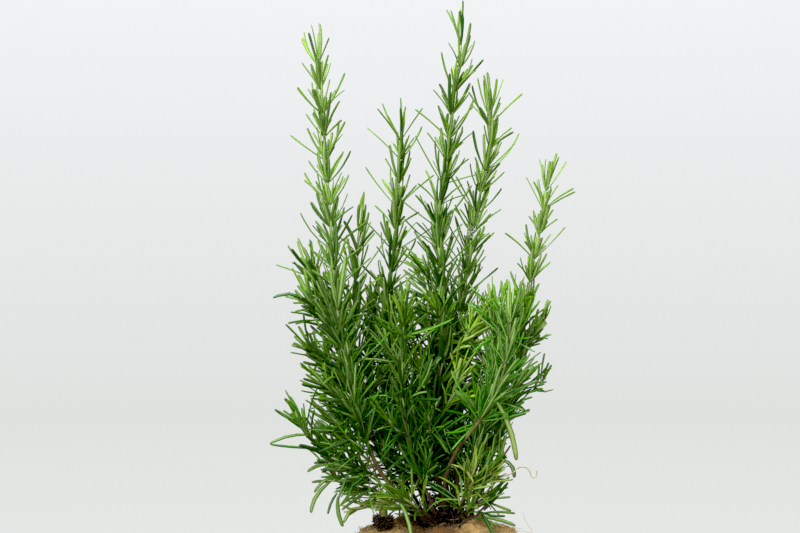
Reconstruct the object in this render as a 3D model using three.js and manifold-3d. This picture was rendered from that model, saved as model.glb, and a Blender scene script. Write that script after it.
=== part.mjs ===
// A rosemary plant in a round plant pot that stands in a sewn jute sack.
// Everything is in millimetres, with +Z up. The origin is the centre of the sack's flat base.
// The front of the plant faces -Y and +X is on its right. The plant's width and the height of each shoot
// are as seen from the front; the shoots at the back are spread so that the bush is round.
import * as THREE from "three";
import { mergeVertices } from "three/addons/utils/BufferGeometryUtils.js";
import Module from "manifold-3d";

const wasm = await Module();
wasm.setup();

// Driving dimensions
const clothThickness = 1.4;
const seatGap = 0.35;
const potHeight = 102;
const potBaseRadius = 41;
const potRimRadius = 57;
const potWall = 1.6;
const rimDepth = 9;
const rimLedge = 2;
const rimRounding = 0.8;
const drainHoles = 5;
const drainHoleRadius = 5;
const drainRingRadius = 27;
const soilDepthBelowRim = 3;
const stemSetDepth = 12;
const neckRadius = 31;
const neckFold = 3.2;
const leafWidth = 2.1;
const leafThickness = 1.05;
const widestShare = 0.5;
const axillaryShare = 0.68;
const leastOpening = 13;
const tipLeafShare = 0.95;
const bandHeight = 1.7;
const stemRingSpacing = 24;
const gapInNode = 0.2;
const gapBetweenNodes = 0.45;

// Sizes worked out from them
const potFoot = clothThickness + seatGap;
const rimTop = potFoot + potHeight;
const soilTop = rimTop - soilDepthBelowRim;
const stemFoot = soilTop - stemSetDepth;
const stemLeavesSoil = soilTop + 2;
const clothInside = potRimRadius + seatGap;

// Colours
const finishes = {
  leaf: { color: 0x4d7f22, roughness: 0.55, metalness: 0 },
  withered: { color: 0x1c1410, roughness: 0.9, metalness: 0 },
  jute: { color: 0xb98f58, roughness: 0.95, metalness: 0 },
  pot: { color: 0x6b4a36, roughness: 0.6, metalness: 0 },
  soil: { color: 0x2a1d14, roughness: 1, metalness: 0 },
};

const upward = new THREE.Vector3(0, 0, 1);
const depthward = new THREE.Vector3(0, 1, 0);
const vector = (list) => new THREE.Vector3(...list);
const degrees = (angle) => (angle * Math.PI) / 180;
const mix = (low, high, share) => low + (high - low) * share;

// A repeatable number from 0 to 1 for one use in one leaf of one shoot.
function chance(shoot, whorl, leaf, use) {
  const mixed = Math.sin(shoot * 127.1 + whorl * 311.7 + leaf * 74.7 + use * 19.3) * 43758.5453;
  return mixed - Math.floor(mixed);
}

// A three.js geometry with nothing but its positions.
function bare(geometry) {
  geometry.deleteAttribute("normal");
  geometry.deleteAttribute("uv");
  return geometry;
}

// A closed solid from a three.js geometry, such as a lathe.
function solidOfGeometry(geometry) {
  const merged = mergeVertices(bare(geometry), 1e-4);
  const mesh = new wasm.Mesh({
    numProp: 3,
    vertProperties: merged.attributes.position.array,
    triVerts: new Uint32Array(merged.index.array),
  });
  return new wasm.Manifold(mesh);
}

// A closed solid from a list of points and triangles.
function solidFrom(points, triangles) {
  const geometry = new THREE.BufferGeometry();
  geometry.setAttribute("position", new THREE.Float32BufferAttribute(points.flat(), 3));
  geometry.setIndex(triangles.flat());
  return solidOfGeometry(geometry);
}

// A named mesh from a solid.
function meshOf(name, solid, finish) {
  const made = solid.getMesh();
  const geometry = new THREE.BufferGeometry();
  geometry.setAttribute("position", new THREE.BufferAttribute(made.vertProperties, 3));
  geometry.setIndex(new THREE.BufferAttribute(made.triVerts, 1));
  geometry.computeVertexNormals();
  const mesh = new THREE.Mesh(geometry, new THREE.MeshStandardMaterial(finishes[finish]));
  mesh.name = name;
  return mesh;
}

// Rings of points joined into one closed skin. Each ring has as many points as the next, counted
// counter-clockwise about the way the rings run, and both ends are closed with a flat cap.
function skinOver(rings) {
  const around = rings[0].length;
  const points = rings.flat();
  const triangles = [];
  for (let ring = 0; ring + 1 < rings.length; ring++) {
    for (let side = 0; side < around; side++) {
      const here = ring * around + side;
      const next = ring * around + ((side + 1) % around);
      triangles.push([here, next, next + around], [here, next + around, here + around]);
    }
  }
  const last = (rings.length - 1) * around;
  for (let side = 1; side + 1 < around; side++) {
    triangles.push([0, side + 1, side], [last, last + side, last + side + 1]);
  }
  return { points, triangles };
}

// The stems. Each route runs from the foot in the soil to the tip. radius is at the foot and at the tip,
// bare is the height of the first leaves above the base, leaf is the length of the leaves low down and at the
// tip, gap is the distance between whorls there, and open is how far the leaves stand off the stem in degrees.
// A side shoot starts at the share of its stem's length that is given by at.
const stems = [
  {
    name: "left_tall_stem",
    route: [[-1, -5], [-8, -10, 112], [-22, -15, 128], [-42, -25, 151], [-56, -30, 184], [-68, -30, 233],
      [-76, -26, 286], [-80, -20, 335], [-84, -14, 391], [-88, -10, 440], [-90, -8, 455]],
    radius: [2.4, 0.7], bare: 196, leaf: [33, 23], gap: [13, 20], open: [62, 30],
    sides: [
      { at: 0.225, route: [[-58, -34, 156], [-72, -38, 161], [-84, -40, 169], [-95, -41, 181], [-103, -42, 195]],
        leaf: [29, 26], gap: [9, 8], open: [60, 34] },
      { at: 0.295, route: [[-65, -38, 199], [-76, -43, 211], [-86, -46, 219]],
        leaf: [27, 23], gap: [9, 8], open: [46, 26] },
      { at: 0.36, route: [[-76, -34, 226], [-88, -37, 236], [-97, -38, 241]],
        leaf: [27, 22], gap: [9, 8], open: [46, 28] },
      { at: 0.445, route: [[-82, -31, 262], [-91, -32, 270], [-99, -32, 274]],
        leaf: [29, 27], gap: [9, 8], open: [50, 30] },
      { at: 0.478, route: [[-82, -17, 276], [-89, -12, 287], [-94, -9, 296]],
        leaf: [24, 20], gap: [10, 9], open: [44, 22] },
    ],
  },
  {
    name: "left_short_stem",
    route: [[-10, 5], [-15, 6, 112], [-28, 8, 134], [-44, 9, 162], [-55, 10, 192], [-61, 10, 226],
      [-64, 9, 263], [-62, 6, 290], [-59, 4, 330]],
    radius: [2, 0.8], bare: 176, leaf: [32, 27], gap: [13, 12], open: [46, 16],
  },
  {
    name: "middle_tall_stem",
    route: [[-3, 7], [-5, 9, 112], [-10, 12, 130], [-19, 16, 158], [-28, 18, 203], [-35, 18, 248],
      [-38, 17, 282], [-34, 16, 305], [-32, 15, 335], [-30, 14, 357], [-28, 13, 385], [-28, 12, 400]],
    radius: [2.2, 0.7], bare: 170, leaf: [30, 24], gap: [13, 20], open: [52, 30],
  },
  {
    name: "middle_front_stem",
    route: [[2, -13], [0, -15, 112], [-6, -18, 130], [-15, -20, 151], [-24, -22, 188], [-27, -22, 226],
      [-26, -20, 256], [-25, -18, 279]],
    radius: [1.9, 0.8], bare: 150, leaf: [29, 24], gap: [13, 9], open: [58, 22],
  },
  {
    name: "middle_back_stem",
    route: [[-6, 15], [-9, 18, 112], [-19, 24, 130], [-32, 30, 150], [-45, 35, 181], [-51, 37, 215],
      [-51, 37, 248], [-50, 36, 276]],
    radius: [1.9, 0.8], bare: 150, leaf: [29, 24], gap: [13, 9], open: [58, 20],
  },
  {
    name: "centre_tall_stem",
    route: [[6, 2], [5, 2, 112], [3, 1, 130], [-1, 0, 151], [-4, -1, 181], [-1, -2, 203], [1, -2, 222],
      [4, -2, 245], [4, -2, 271], [3, 0, 297], [1, 1, 316], [0, 2, 335], [2, 3, 356], [5, 3, 371],
      [8, 3, 395], [11, 3, 425], [14, 3, 440], [17, 3, 457], [17, 3, 471]],
    radius: [3.2, 0.7], bare: 160, leaf: [31, 25], gap: [13, 20], open: [52, 32],
    sides: [
      { at: 0.14, route: [[-10, -8, 163], [-15, -11, 177], [-18, -13, 192]],
        leaf: [23, 20], gap: [9, 8], open: [60, 34] },
    ],
  },
  {
    name: "centre_back_stem",
    route: [[14, 8], [15, 9, 112], [15, 12, 132], [14, 16, 158], [13, 19, 188], [13, 20, 214], [15, 20, 241],
      [18, 20, 267], [21, 19, 290], [24, 18, 312], [28, 17, 337], [32, 16, 357], [37, 14, 378],
      [40, 14, 393], [39, 13, 408], [39, 13, 419]],
    radius: [2.3, 0.7], bare: 170, leaf: [29, 24], gap: [13, 19], open: [50, 30],
    sides: [
      { at: 0.43, route: [[25, 24, 250], [33, 27, 264]],
        leaf: [23, 20], gap: [8, 7], open: [46, 26] },
    ],
  },
  {
    name: "right_tall_stem",
    route: [[24, 3], [25, 4, 112], [30, 6, 143], [39, 8, 166], [52, 10, 191], [60, 11, 218], [63, 11, 243],
      [67, 10, 270], [70, 9, 290], [72, 8, 306], [75, 7, 322], [79, 7, 342], [82, 6, 362]],
    radius: [2.2, 0.7], bare: 156, leaf: [30, 24], gap: [13, 20], open: [54, 32],
    sides: [
      { at: 0.55, route: [[72, 7, 252], [80, 2, 266]],
        leaf: [24, 20], gap: [8, 7], open: [50, 30] },
    ],
  },
  {
    name: "right_front_stem",
    route: [[8, -6], [6, -10, 112], [4, -15, 136], [8, -21, 156], [16, -26, 172], [25, -30, 184],
      [38, -34, 203], [45, -36, 220], [49, -37, 238], [52, -37, 256], [53, -36, 279]],
    radius: [2.8, 0.8], bare: 162, leaf: [34, 27], gap: [13, 9], open: [64, 18],
  },
  {
    name: "right_inner_stem",
    route: [[16, -5], [17, -7, 112], [19, -10, 130], [24, -13, 155], [31, -15, 180], [37, -16, 205],
      [40, -16, 230], [41, -15, 256], [40, -14, 279]],
    radius: [1.9, 0.8], bare: 150, leaf: [29, 25], gap: [13, 9], open: [58, 18],
  },
  {
    name: "low_left_stem",
    route: [[-8, -2], [-14, -3, 112], [-24, -4, 124], [-38, -6, 132], [-52, -8, 137], [-66, -10, 139],
      [-76, -11, 146], [-83, -12, 154]],
    radius: [1.7, 0.8], bare: 128, leaf: [24, 20], gap: [10, 8], open: [60, 34],
    sides: [
      { at: 0.3, route: [[-31, -14, 126], [-44, -17, 127], [-58, -18, 124], [-70, -19, 122]],
        leaf: [23, 20], gap: [12, 8], open: [56, 38] },
    ],
  },
  {
    name: "front_left_stem",
    route: [[2, -21], [-1, -23, 112], [-10, -33, 122], [-20, -44, 130], [-30, -54, 137]],
    radius: [1.6, 0.8], bare: 122, leaf: [27, 24], gap: [9, 7], open: [70, 40],
  },
  {
    name: "low_right_stem",
    route: [[23, -7], [23, -8, 112], [26, -9, 124], [32, -12, 136], [38, -14, 147], [46, -17, 160],
      [53, -19, 171]],
    radius: [1.7, 0.8], bare: 128, leaf: [26, 22], gap: [10, 8], open: [60, 34],
  },
  {
    name: "right_sprig",
    route: [[17, -14], [18, -15, 112], [21, -17, 121], [27, -21, 128], [34, -24, 133], [38, -26, 137]],
    radius: [1.5, 0.8], bare: 120, leaf: [23, 21], gap: [8, 7], open: [62, 36],
  },
  {
    name: "yellow_low_stem",
    route: [[10, -15], [12, -17, 112], [16, -22, 126], [21, -27, 142], [25, -31, 156]],
    radius: [1.5, 0.8], bare: 124, leaf: [21, 18], gap: [9, 7], open: [60, 34],
  },
  {
    name: "back_left_stem",
    route: [[-2, 20], [-6, 24, 112], [-16, 35, 138], [-27, 46, 172], [-34, 52, 208], [-37, 54, 240]],
    radius: [1.9, 0.8], bare: 150, leaf: [28, 24], gap: [13, 9], open: [56, 24],
  },
  {
    name: "back_middle_stem",
    route: [[5, 14], [6, 18, 112], [7, 30, 138], [6, 41, 172], [5, 47, 212], [6, 48, 254]],
    radius: [1.9, 0.8], bare: 150, leaf: [28, 24], gap: [13, 9], open: [56, 24],
  },
  {
    name: "back_right_stem",
    route: [[14, 16], [15, 18, 112], [19, 23, 124], [28, 33, 142], [38, 41, 172], [45, 45, 206],
      [48, 46, 240]],
    radius: [1.9, 0.8], bare: 150, leaf: [28, 24], gap: [13, 9], open: [56, 24],
  },
  {
    name: "low_back_stem",
    route: [[7, 21], [8, 22, 113], [10, 27, 124], [13, 38, 133], [16, 52, 142], [18, 64, 151]],
    radius: [1.6, 0.8], bare: 126, leaf: [25, 22], gap: [10, 8], open: [62, 36],
  },
];

// A stem's route as a smooth curve: the foot stands upright in the soil.
function curveOf(stem) {
  const [foot, ...rest] = stem.route;
  const points = [[...foot, stemFoot], [...foot, stemLeavesSoil], ...rest].map(vector);
  return new THREE.CatmullRomCurve3(points, false, "centripetal");
}

function sideCurveOf(side, parentCurve) {
  const points = [parentCurve.getPointAt(side.at), ...side.route.map(vector)];
  return new THREE.CatmullRomCurve3(points, false, "centripetal");
}

// The directions across a shoot at one place: right is close to +X and back is close to +Y on an upright one.
function crossingAxes(along) {
  const right = new THREE.Vector3().crossVectors(depthward, along).normalize();
  const back = new THREE.Vector3().crossVectors(along, right).normalize();
  return { right, back };
}

// How a leaf lies: its curved middle line from the foot, the way it leaves the stem, and the way its upper
// face looks, which is towards the stem. around is the side of the stem that it stands on.
function leafLie(foot, along, around, opening, length, bend, sag) {
  const { right, back } = crossingAxes(along);
  const outward = right.multiplyScalar(Math.cos(around)).addScaledVector(back, Math.sin(around));
  const direction = along.clone().multiplyScalar(Math.cos(opening)).addScaledVector(outward, Math.sin(opening));
  const facing = along.clone().multiplyScalar(Math.sin(opening)).addScaledVector(outward, -Math.cos(opening));
  const path = (share) => foot.clone()
    .addScaledVector(direction, share * length)
    .addScaledVector(facing, bend * length * share * share)
    .addScaledVector(upward, -sag * length * share * share);
  return { direction, facing, path };
}

// The three corners of a leaf where it is widest: the two edges of its flat upper face, then the keel below.
function widestCorners({ direction, facing, path }) {
  const toRight = new THREE.Vector3().crossVectors(facing, direction).normalize();
  const centre = path(widestShare);
  return [[0.5, 0.4], [-0.5, 0.4], [0, -0.6]].map(([side, height]) => centre.clone()
    .addScaledVector(toRight, side * leafWidth)
    .addScaledVector(facing, height * leafThickness));
}

// The shortest distance between two straight pieces.
function distanceBetween(a, b) {
  const alongA = a.end.clone().sub(a.start);
  const alongB = b.end.clone().sub(b.start);
  const between = a.start.clone().sub(b.start);
  const aa = alongA.dot(alongA);
  const bb = alongB.dot(alongB);
  const ab = alongA.dot(alongB);
  const aw = alongA.dot(between);
  const bw = alongB.dot(between);
  const spread = aa * bb - ab * ab;
  const clamp = (value) => Math.min(1, Math.max(0, value));
  let shareA = spread > 1e-9 ? clamp((ab * bw - bb * aw) / spread) : 0;
  const shareB = clamp((ab * shareA + bw) / bb);
  shareA = clamp((ab * shareB - aw) / aa);
  return between.addScaledVector(alongA, shareA).addScaledVector(alongB, -shareB).length();
}

// Everything that a new leaf has to stay clear of, as straight pieces with a radius.
const placed = [];

function pieceOf(start, end, radius, owner) {
  const centre = start.clone().add(end).multiplyScalar(0.5);
  return { start, end, radius, centre, reach: start.distanceTo(end) / 2, ...owner };
}

function isClear(piece) {
  return placed.every((other) => {
    const ownStem = other.shoot === piece.shoot && other.whorl === undefined;
    const sameWhorl = other.shoot === piece.shoot && other.whorl === piece.whorl;
    if (piece.atFoot && (sameWhorl || ownStem)) return true;
    const gap = other.node === piece.node ? gapInNode : gapBetweenNodes;
    const room = (piece.radius + other.radius) * (sameWhorl ? 0.7 : 1) + gap;
    if (piece.centre.distanceTo(other.centre) > room + piece.reach + other.reach) return true;
    return distanceBetween(piece, other) > room;
  });
}

// The height below which a leaf would touch the sack or the soil, at a distance from the pot's axis.
function sackTopAt(x, y) {
  const out = Math.hypot(x, y);
  const angle = Math.atan2(y, x);
  if (out > potRimRadius + 7) return -Infinity;
  if (out < neckRadius - 5) return soilTop + 2;
  return lipHeight(angle) + neckFold * neckWave(angle) + clothThickness + 1.6;
}

const missesSack = (point) => point.z > sackTopAt(point.x, point.y);

// A shoot ends in a young leaf that goes straight on.
const tipOf = (curve, spec) =>
  curve.getPointAt(1).addScaledVector(curve.getTangentAt(1), tipLeafShare * spec.leaf[1]);

// The whorls of a shoot, from its first leaves to its tip: where each stands and how far it is turned.
function whorlsOf(curve, spec, shoot, start) {
  const length = curve.getLength();
  const whorls = [];
  let travelled = start * length;
  while (travelled < length - 3) {
    const share = travelled / length;
    const grown = (share - start) / (1 - start);
    whorls.push({ share, grown, turn: 34 * (chance(shoot, whorls.length, 0, 1) - 0.5) });
    travelled += mix(spec.gap[0], spec.gap[1], grown);
  }
  return whorls;
}

// A leaf that clears everything placed before it, or none. A leaf that would cross another is turned a little.
function fitLeaf(foot, along, spec, whorl, side, axillary, owner) {
  const number = 2 * side + (axillary ? 1 : 0);
  const draw = (use) => chance(owner.shoot, owner.whorl, number, use);
  const longLeaf = mix(spec.leaf[0], spec.leaf[1], whorl.grown) * (0.85 + 0.3 * draw(2));
  const length = axillary ? axillaryShare * longLeaf : longLeaf;
  const spread = mix(spec.open[0], spec.open[1], whorl.grown) + 10 * (draw(3) - 0.5);
  const opening = axillary ? Math.max(0.45 * spread, leastOpening) : Math.max(spread, 2.2 * leastOpening);
  const bend = axillary ? 0.1 * (draw(4) - 0.5) : 0.34 * (draw(4) - 0.35);
  const sag = axillary ? 0 : 0.12 * draw(5) * (1 - whorl.grown);
  const lean = axillary ? -1 : 1;
  const swing = lean * (axillary ? 3 + 14 * draw(6) : 2 + 7 * draw(6));
  for (const extra of [0, 9, 18, 27, 36, -7]) {
    const around = degrees(whorl.turn + 90 * side + swing + lean * extra);
    const lie = leafLie(foot, along, around, degrees(opening), length, bend, sag);
    const stops = [0.05, 0.3, 0.6, 1].map(lie.path);
    const pieces = [1.1, 1, 0.75].map((size, index) =>
      pieceOf(stops[index], stops[index + 1], (size * leafWidth) / 2, { ...owner, atFoot: index === 0 }));
    if (stops.every(missesSack) && pieces.every(isClear)) {
      placed.push(...pieces);
      return lie;
    }
  }
  return null;
}

// A shoot in one skin: a four-sided stem with a band of faces at each whorl. Two opposite faces of the band,
// a quarter turn on from the whorl below, carry the long leaves: the lower half of a face grows into a long
// leaf and the upper half into the shorter one in its axil. The other two faces carry a short leaf each.
function shootSolid({ node, curve, spec, radii, upright, start }, shoot) {
  const length = curve.getLength();
  const points = [];
  const triangles = [];
  const addRing = (share, turn) => {
    const centre = curve.getPointAt(share);
    const { right, back } = crossingAxes(curve.getTangentAt(share));
    const radius = mix(radii[0], radii[1], share);
    for (let corner = 0; corner < 4; corner++) {
      const angle = degrees(turn - 45 + 90 * corner);
      points.push(centre.clone()
        .addScaledVector(right, radius * Math.cos(angle))
        .addScaledVector(back, radius * Math.sin(angle)));
    }
    return points.length - 4;
  };
  const joinFace = (low, high, side) => {
    const next = (side + 1) % 4;
    triangles.push([low + side, low + next, high + next], [low + side, high + next, high + side]);
  };
  const growLeaf = (feet, lie, order) => {
    const corners = widestCorners(lie);
    const first = points.length;
    points.push(...corners, lie.path(1));
    const tops = order.map((corner) => first + corner);
    for (let edge = 0; edge < 3; edge++) {
      const next = (edge + 1) % 3;
      triangles.push([feet[edge], feet[next], tops[next]], [feet[edge], tops[next], tops[edge]]);
      triangles.push([tops[edge], tops[next], first + 3]);
    }
  };
  const bareRings = Math.max(1, Math.round(((start - upright) * length) / stemRingSpacing));
  let below = addRing(0, 0);
  triangles.push([below, below + 2, below + 1], [below, below + 3, below + 2]);
  const climb = (ring) => {
    for (let side = 0; side < 4; side++) joinFace(below, ring, side);
    below = ring;
  };
  if (upright > 0) climb(addRing(upright, 0));
  for (let ring = 1; ring < bareRings; ring++) climb(addRing(mix(upright, start, ring / bareRings), 0));
  whorlsOf(curve, spec, shoot, start).forEach((whorl, index) => {
    const band = bandHeight / length;
    climb(addRing(whorl.share, whorl.turn));
    const low = below;
    const high = addRing(Math.min(whorl.share + band, 1 - band), whorl.turn);
    const along = curve.getTangentAt(whorl.share);
    for (let side = 0; side < 4; side++) {
      const next = (side + 1) % 4;
      const owner = { node, shoot, whorl: index };
      const halves = [
        { feet: [low + side, low + next, high + next], order: [1, 2, 0], axillary: false },
        { feet: [low + side, high + next, high + side], order: [2, 0, 1], axillary: true },
      ];
      for (const { feet, order, axillary } of halves) {
        const centre = new THREE.Vector3();
        feet.forEach((corner) => centre.addScaledVector(points[corner], 1 / 3));
        const leafy = axillary || (side + index) % 2 === 0;
        const lie = leafy ? fitLeaf(centre, along, spec, whorl, side, axillary, owner) : null;
        if (lie) growLeaf(feet, lie, order);
        else triangles.push(feet);
      }
    }
    below = high;
  });
  climb(addRing(1, 0));
  const tip = points.length;
  points.push(tipOf(curve, spec));
  for (let side = 0; side < 4; side++) triangles.push([below + side, below + ((side + 1) % 4), tip]);
  return solidFrom(points.map((point) => point.toArray()), triangles);
}

// The share of a rising curve's length at which it reaches a height.
function shareAtHeight(curve, height) {
  let [low, high] = [0, 1];
  for (let halving = 0; halving < 20; halving++) {
    const middle = (low + high) / 2;
    if (curve.getPointAt(middle).z < height) low = middle;
    else high = middle;
  }
  return high;
}

// Folds of the sack: it is smooth at the base, gathered into soft folds up the side and drawn in at the neck.
const foldsAround = 11;
const foldWave = (angle) => 0.5 + 0.3 * Math.cos(foldsAround * angle + 0.6) + 0.2 * Math.cos(5 * angle + 2);
const neckWave = (angle) => 0.5 + 0.32 * Math.cos(9 * angle + 1.1) + 0.18 * Math.cos(4 * angle - 0.4);

function lipHeight(angle) {
  return rimTop + 7.5 + 5.5 * Math.cos(angle - 0.15) + 1.6 * Math.sin(angle) + 1.4 * Math.cos(3 * angle + 0.8);
}

// The sack's cloth as stations from the middle of the base, up the side, over the rim and in to the lip.
// Each gives the radius and height of the inside face, how deep the folds are there, and which way is out.
function sackStations(angle) {
  const lip = lipHeight(angle);
  const shoulder = rimTop + seatGap;
  return [
    { radius: potBaseRadius + 0.9, height: clothThickness, fold: 0, out: [0, -1] },
    { radius: potBaseRadius + 1.6, height: clothThickness + 1.6, fold: 0.3, out: [0.86, -0.5] },
    { radius: mix(potBaseRadius, clothInside, 0.3) + 0.8, height: 32, fold: 0.8, out: [1, 0] },
    { radius: mix(potBaseRadius, clothInside, 0.68) + 0.8, height: 68, fold: 1.5, out: [1, 0] },
    { radius: clothInside + 0.3, height: rimTop - 8, fold: 2, out: [1, 0] },
    { radius: clothInside + 0.1, height: rimTop - 0.6, fold: 1.8, out: [0.85, 0.5] },
    { radius: clothInside - 3, height: mix(shoulder, lip, 0.12) + 1.2, fold: 1.2, out: [0.2, 0.98] },
    { radius: mix(clothInside, neckRadius, 0.55), height: mix(shoulder, lip, 0.5) + 1, fold: 2.6, out: [0, 1] },
    { radius: neckRadius, height: lip, fold: neckFold, out: [-0.3, 0.95] },
  ];
}

function juteSack() {
  const around = 36;
  const shoulderStation = 5;
  const ringAt = (pick, outside) => {
    const ring = [];
    for (let step = 0; step < around; step++) {
      const angle = (step / around) * 2 * Math.PI;
      const station = sackStations(angle)[pick];
      const onTop = pick > shoulderStation;
      const swell = station.fold * (onTop ? neckWave(angle) : foldWave(angle));
      const offset = outside ? clothThickness : 0;
      const radius = station.radius + (onTop ? 0 : swell) + offset * station.out[0];
      const height = station.height + (onTop ? swell : 0) + offset * station.out[1];
      ring.push([radius * Math.cos(angle), radius * Math.sin(angle), height]);
    }
    return ring;
  };
  const last = sackStations(0).length - 1;
  const rings = [];
  for (let pick = 0; pick <= last; pick++) rings.push(ringAt(pick, true));
  for (let pick = last; pick >= 0; pick--) rings.push(ringAt(pick, false));
  const { points, triangles } = skinOver(rings);
  return solidFrom(points, triangles);
}

function plantPot() {
  const bodyTop = potRimRadius - rimLedge;
  const profile = [
    [0, potFoot], [potBaseRadius - 1.5, potFoot], [potBaseRadius, potFoot + 1.5],
    [bodyTop, rimTop - rimDepth], [potRimRadius, rimTop - rimDepth], [potRimRadius, rimTop - rimRounding],
    [potRimRadius - rimRounding, rimTop], [bodyTop - potWall, rimTop],
    [potBaseRadius - potWall, potFoot + potWall], [0, potFoot + potWall],
  ].map(([radius, height]) => new THREE.Vector2(radius, height));
  const lathe = new THREE.LatheGeometry(profile, 32);
  lathe.rotateX(Math.PI / 2);
  let pot = solidOfGeometry(lathe);
  for (let hole = 0; hole < drainHoles; hole++) {
    const angle = (hole / drainHoles) * 2 * Math.PI;
    const [x, y] = [drainRingRadius * Math.cos(angle), drainRingRadius * Math.sin(angle)];
    const drill = new THREE.CylinderGeometry(drainHoleRadius, drainHoleRadius, 3 * potWall, 8);
    drill.rotateX(Math.PI / 2);
    drill.translate(x, y, potFoot + potWall / 2);
    pot = pot.subtract(solidOfGeometry(drill));
  }
  return pot;
}

// The soil fills the pot, a little higher in the middle, and each stem stands in a plain hole in it.
function pottingSoil() {
  const wallTop = potRimRadius - rimLedge - potWall - seatGap;
  const wallFoot = potBaseRadius - potWall - seatGap;
  const slope = (wallTop - wallFoot) / (potHeight - potWall);
  const edge = soilTop - 3;
  const profile = [
    [0, potFoot + potWall + seatGap], [wallFoot, potFoot + potWall + seatGap],
    [wallFoot + slope * (edge - potFoot - potWall) - 0.2, edge], [36, soilTop - 0.6], [0, soilTop],
  ].map(([radius, height]) => new THREE.Vector2(radius, height));
  const lathe = new THREE.LatheGeometry(profile, 24);
  lathe.rotateX(Math.PI / 2);
  let soil = solidOfGeometry(lathe);
  for (const stem of stems) {
    const radius = stem.radius[0] + 0.8;
    const depth = stemSetDepth + seatGap + 2;
    const drill = new THREE.CylinderGeometry(radius, radius, depth, 6);
    drill.rotateX(Math.PI / 2);
    drill.translate(stem.route[0][0], stem.route[0][1], stemFoot - seatGap + depth / 2);
    soil = soil.subtract(solidOfGeometry(drill));
  }
  return soil;
}

// A dead side shoot whose leaves have dried black: a stub under the low left stem with a round spiky head.
// Each face of the head is drawn out into a needle, apart from those under the stub.
function witheredTuft(seat) {
  const headRadius = 3.4;
  const reach = 9;
  const stubRadius = 1.5;
  const centre = new THREE.Vector3(seat.x, seat.y, rimTop + 12.5);
  const head = mergeVertices(bare(new THREE.IcosahedronGeometry(headRadius, 1)), 1e-4);
  const corners = head.attributes.position;
  const points = [];
  for (let corner = 0; corner < corners.count; corner++) {
    points.push(new THREE.Vector3().fromBufferAttribute(corners, corner));
  }
  const triangles = [];
  for (let face = 0; face < head.index.count; face += 3) {
    const feet = [0, 1, 2].map((corner) => head.index.getX(face + corner));
    const outward = new THREE.Vector3();
    feet.forEach((corner) => outward.add(points[corner]));
    outward.normalize();
    if (outward.z > 0.75) {
      triangles.push(feet);
      continue;
    }
    const length = reach * (0.8 + 0.3 * chance(60, face, 0, 1));
    outward.z *= 0.8;
    points.push(outward.multiplyScalar(length));
    const tip = points.length - 1;
    for (let edge = 0; edge < 3; edge++) triangles.push([feet[edge], feet[(edge + 1) % 3], tip]);
  }
  const spiky = solidFrom(points.map((point) => point.add(centre).toArray()), triangles);
  const stubTop = seat.z - stubRadius - seatGap;
  const stub = new THREE.CylinderGeometry(stubRadius, stubRadius, stubTop - centre.z, 6);
  stub.rotateX(Math.PI / 2);
  stub.translate(centre.x, centre.y, (stubTop + centre.z) / 2);
  return spiky.add(solidOfGeometry(stub));
}

// Lay out every stem first, so that the leaves can be kept clear of all of them.
const shoots = [];
for (const stem of stems) {
  const curve = curveOf(stem);
  const upright = shareAtHeight(curve, stemLeavesSoil);
  const start = shareAtHeight(curve, stem.bare);
  shoots.push({ node: stem.name, curve, spec: stem, radii: stem.radius, upright, start });
  for (const side of stem.sides ?? []) {
    const thick = mix(stem.radius[0], stem.radius[1], side.at) * 0.8;
    const sideCurve = sideCurveOf(side, curve);
    shoots.push({ node: stem.name, curve: sideCurve, spec: side, radii: [thick, 0.8], upright: 0, start: 0.3 });
  }
}
shoots.forEach(({ node, curve, spec, radii }, shoot) => {
  const pieces = Math.ceil(curve.getLength() / 12);
  for (let piece = 0; piece < pieces; piece++) {
    const radius = mix(radii[0], radii[1], piece / pieces);
    const [start, end] = [piece, piece + 1].map((step) => curve.getPointAt(step / pieces));
    placed.push(pieceOf(start, end, radius, { node, shoot }));
  }
  placed.push(pieceOf(curve.getPointAt(1), tipOf(curve, spec), radii[1], { node, shoot }));
});

const tuftSprig = shoots[shoots.findIndex(({ node }) => node === "low_left_stem") + 1];
const tuftSeat = tuftSprig.curve.getPointAt(0.46);
const tuftFoot = new THREE.Vector3(tuftSeat.x, tuftSeat.y, rimTop + 4);
placed.push(pieceOf(tuftFoot, tuftSeat, 9, { node: "withered_tuft", shoot: -1 }));

const plant = new Map();
shoots.forEach((shoot, number) => {
  const solid = shootSolid(shoot, number);
  plant.set(shoot.node, plant.has(shoot.node) ? plant.get(shoot.node).add(solid) : solid);
});

const rosemary = new THREE.Group();
rosemary.add(meshOf("jute_sack", juteSack(), "jute"));
rosemary.add(meshOf("plant_pot", plantPot(), "pot"));
rosemary.add(meshOf("potting_soil", pottingSoil(), "soil"));
rosemary.add(meshOf("withered_tuft", witheredTuft(tuftSeat), "withered"));
for (const [name, solid] of plant) rosemary.add(meshOf(name, solid, "leaf"));

export default rosemary;
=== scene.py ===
# %% [markdown]
# # A potted rosemary plant, one step at a time
#
# The plant is a handful of woody shoots with thousands of small needle leaves, in a pot that stands in a
# jute sack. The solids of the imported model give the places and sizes. This lesson dresses them: leaves with
# rolled edges and a pale underside, bark, woven cloth with loose fibres, and crumbly soil.

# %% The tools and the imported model
import math
from functools import partial

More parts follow.
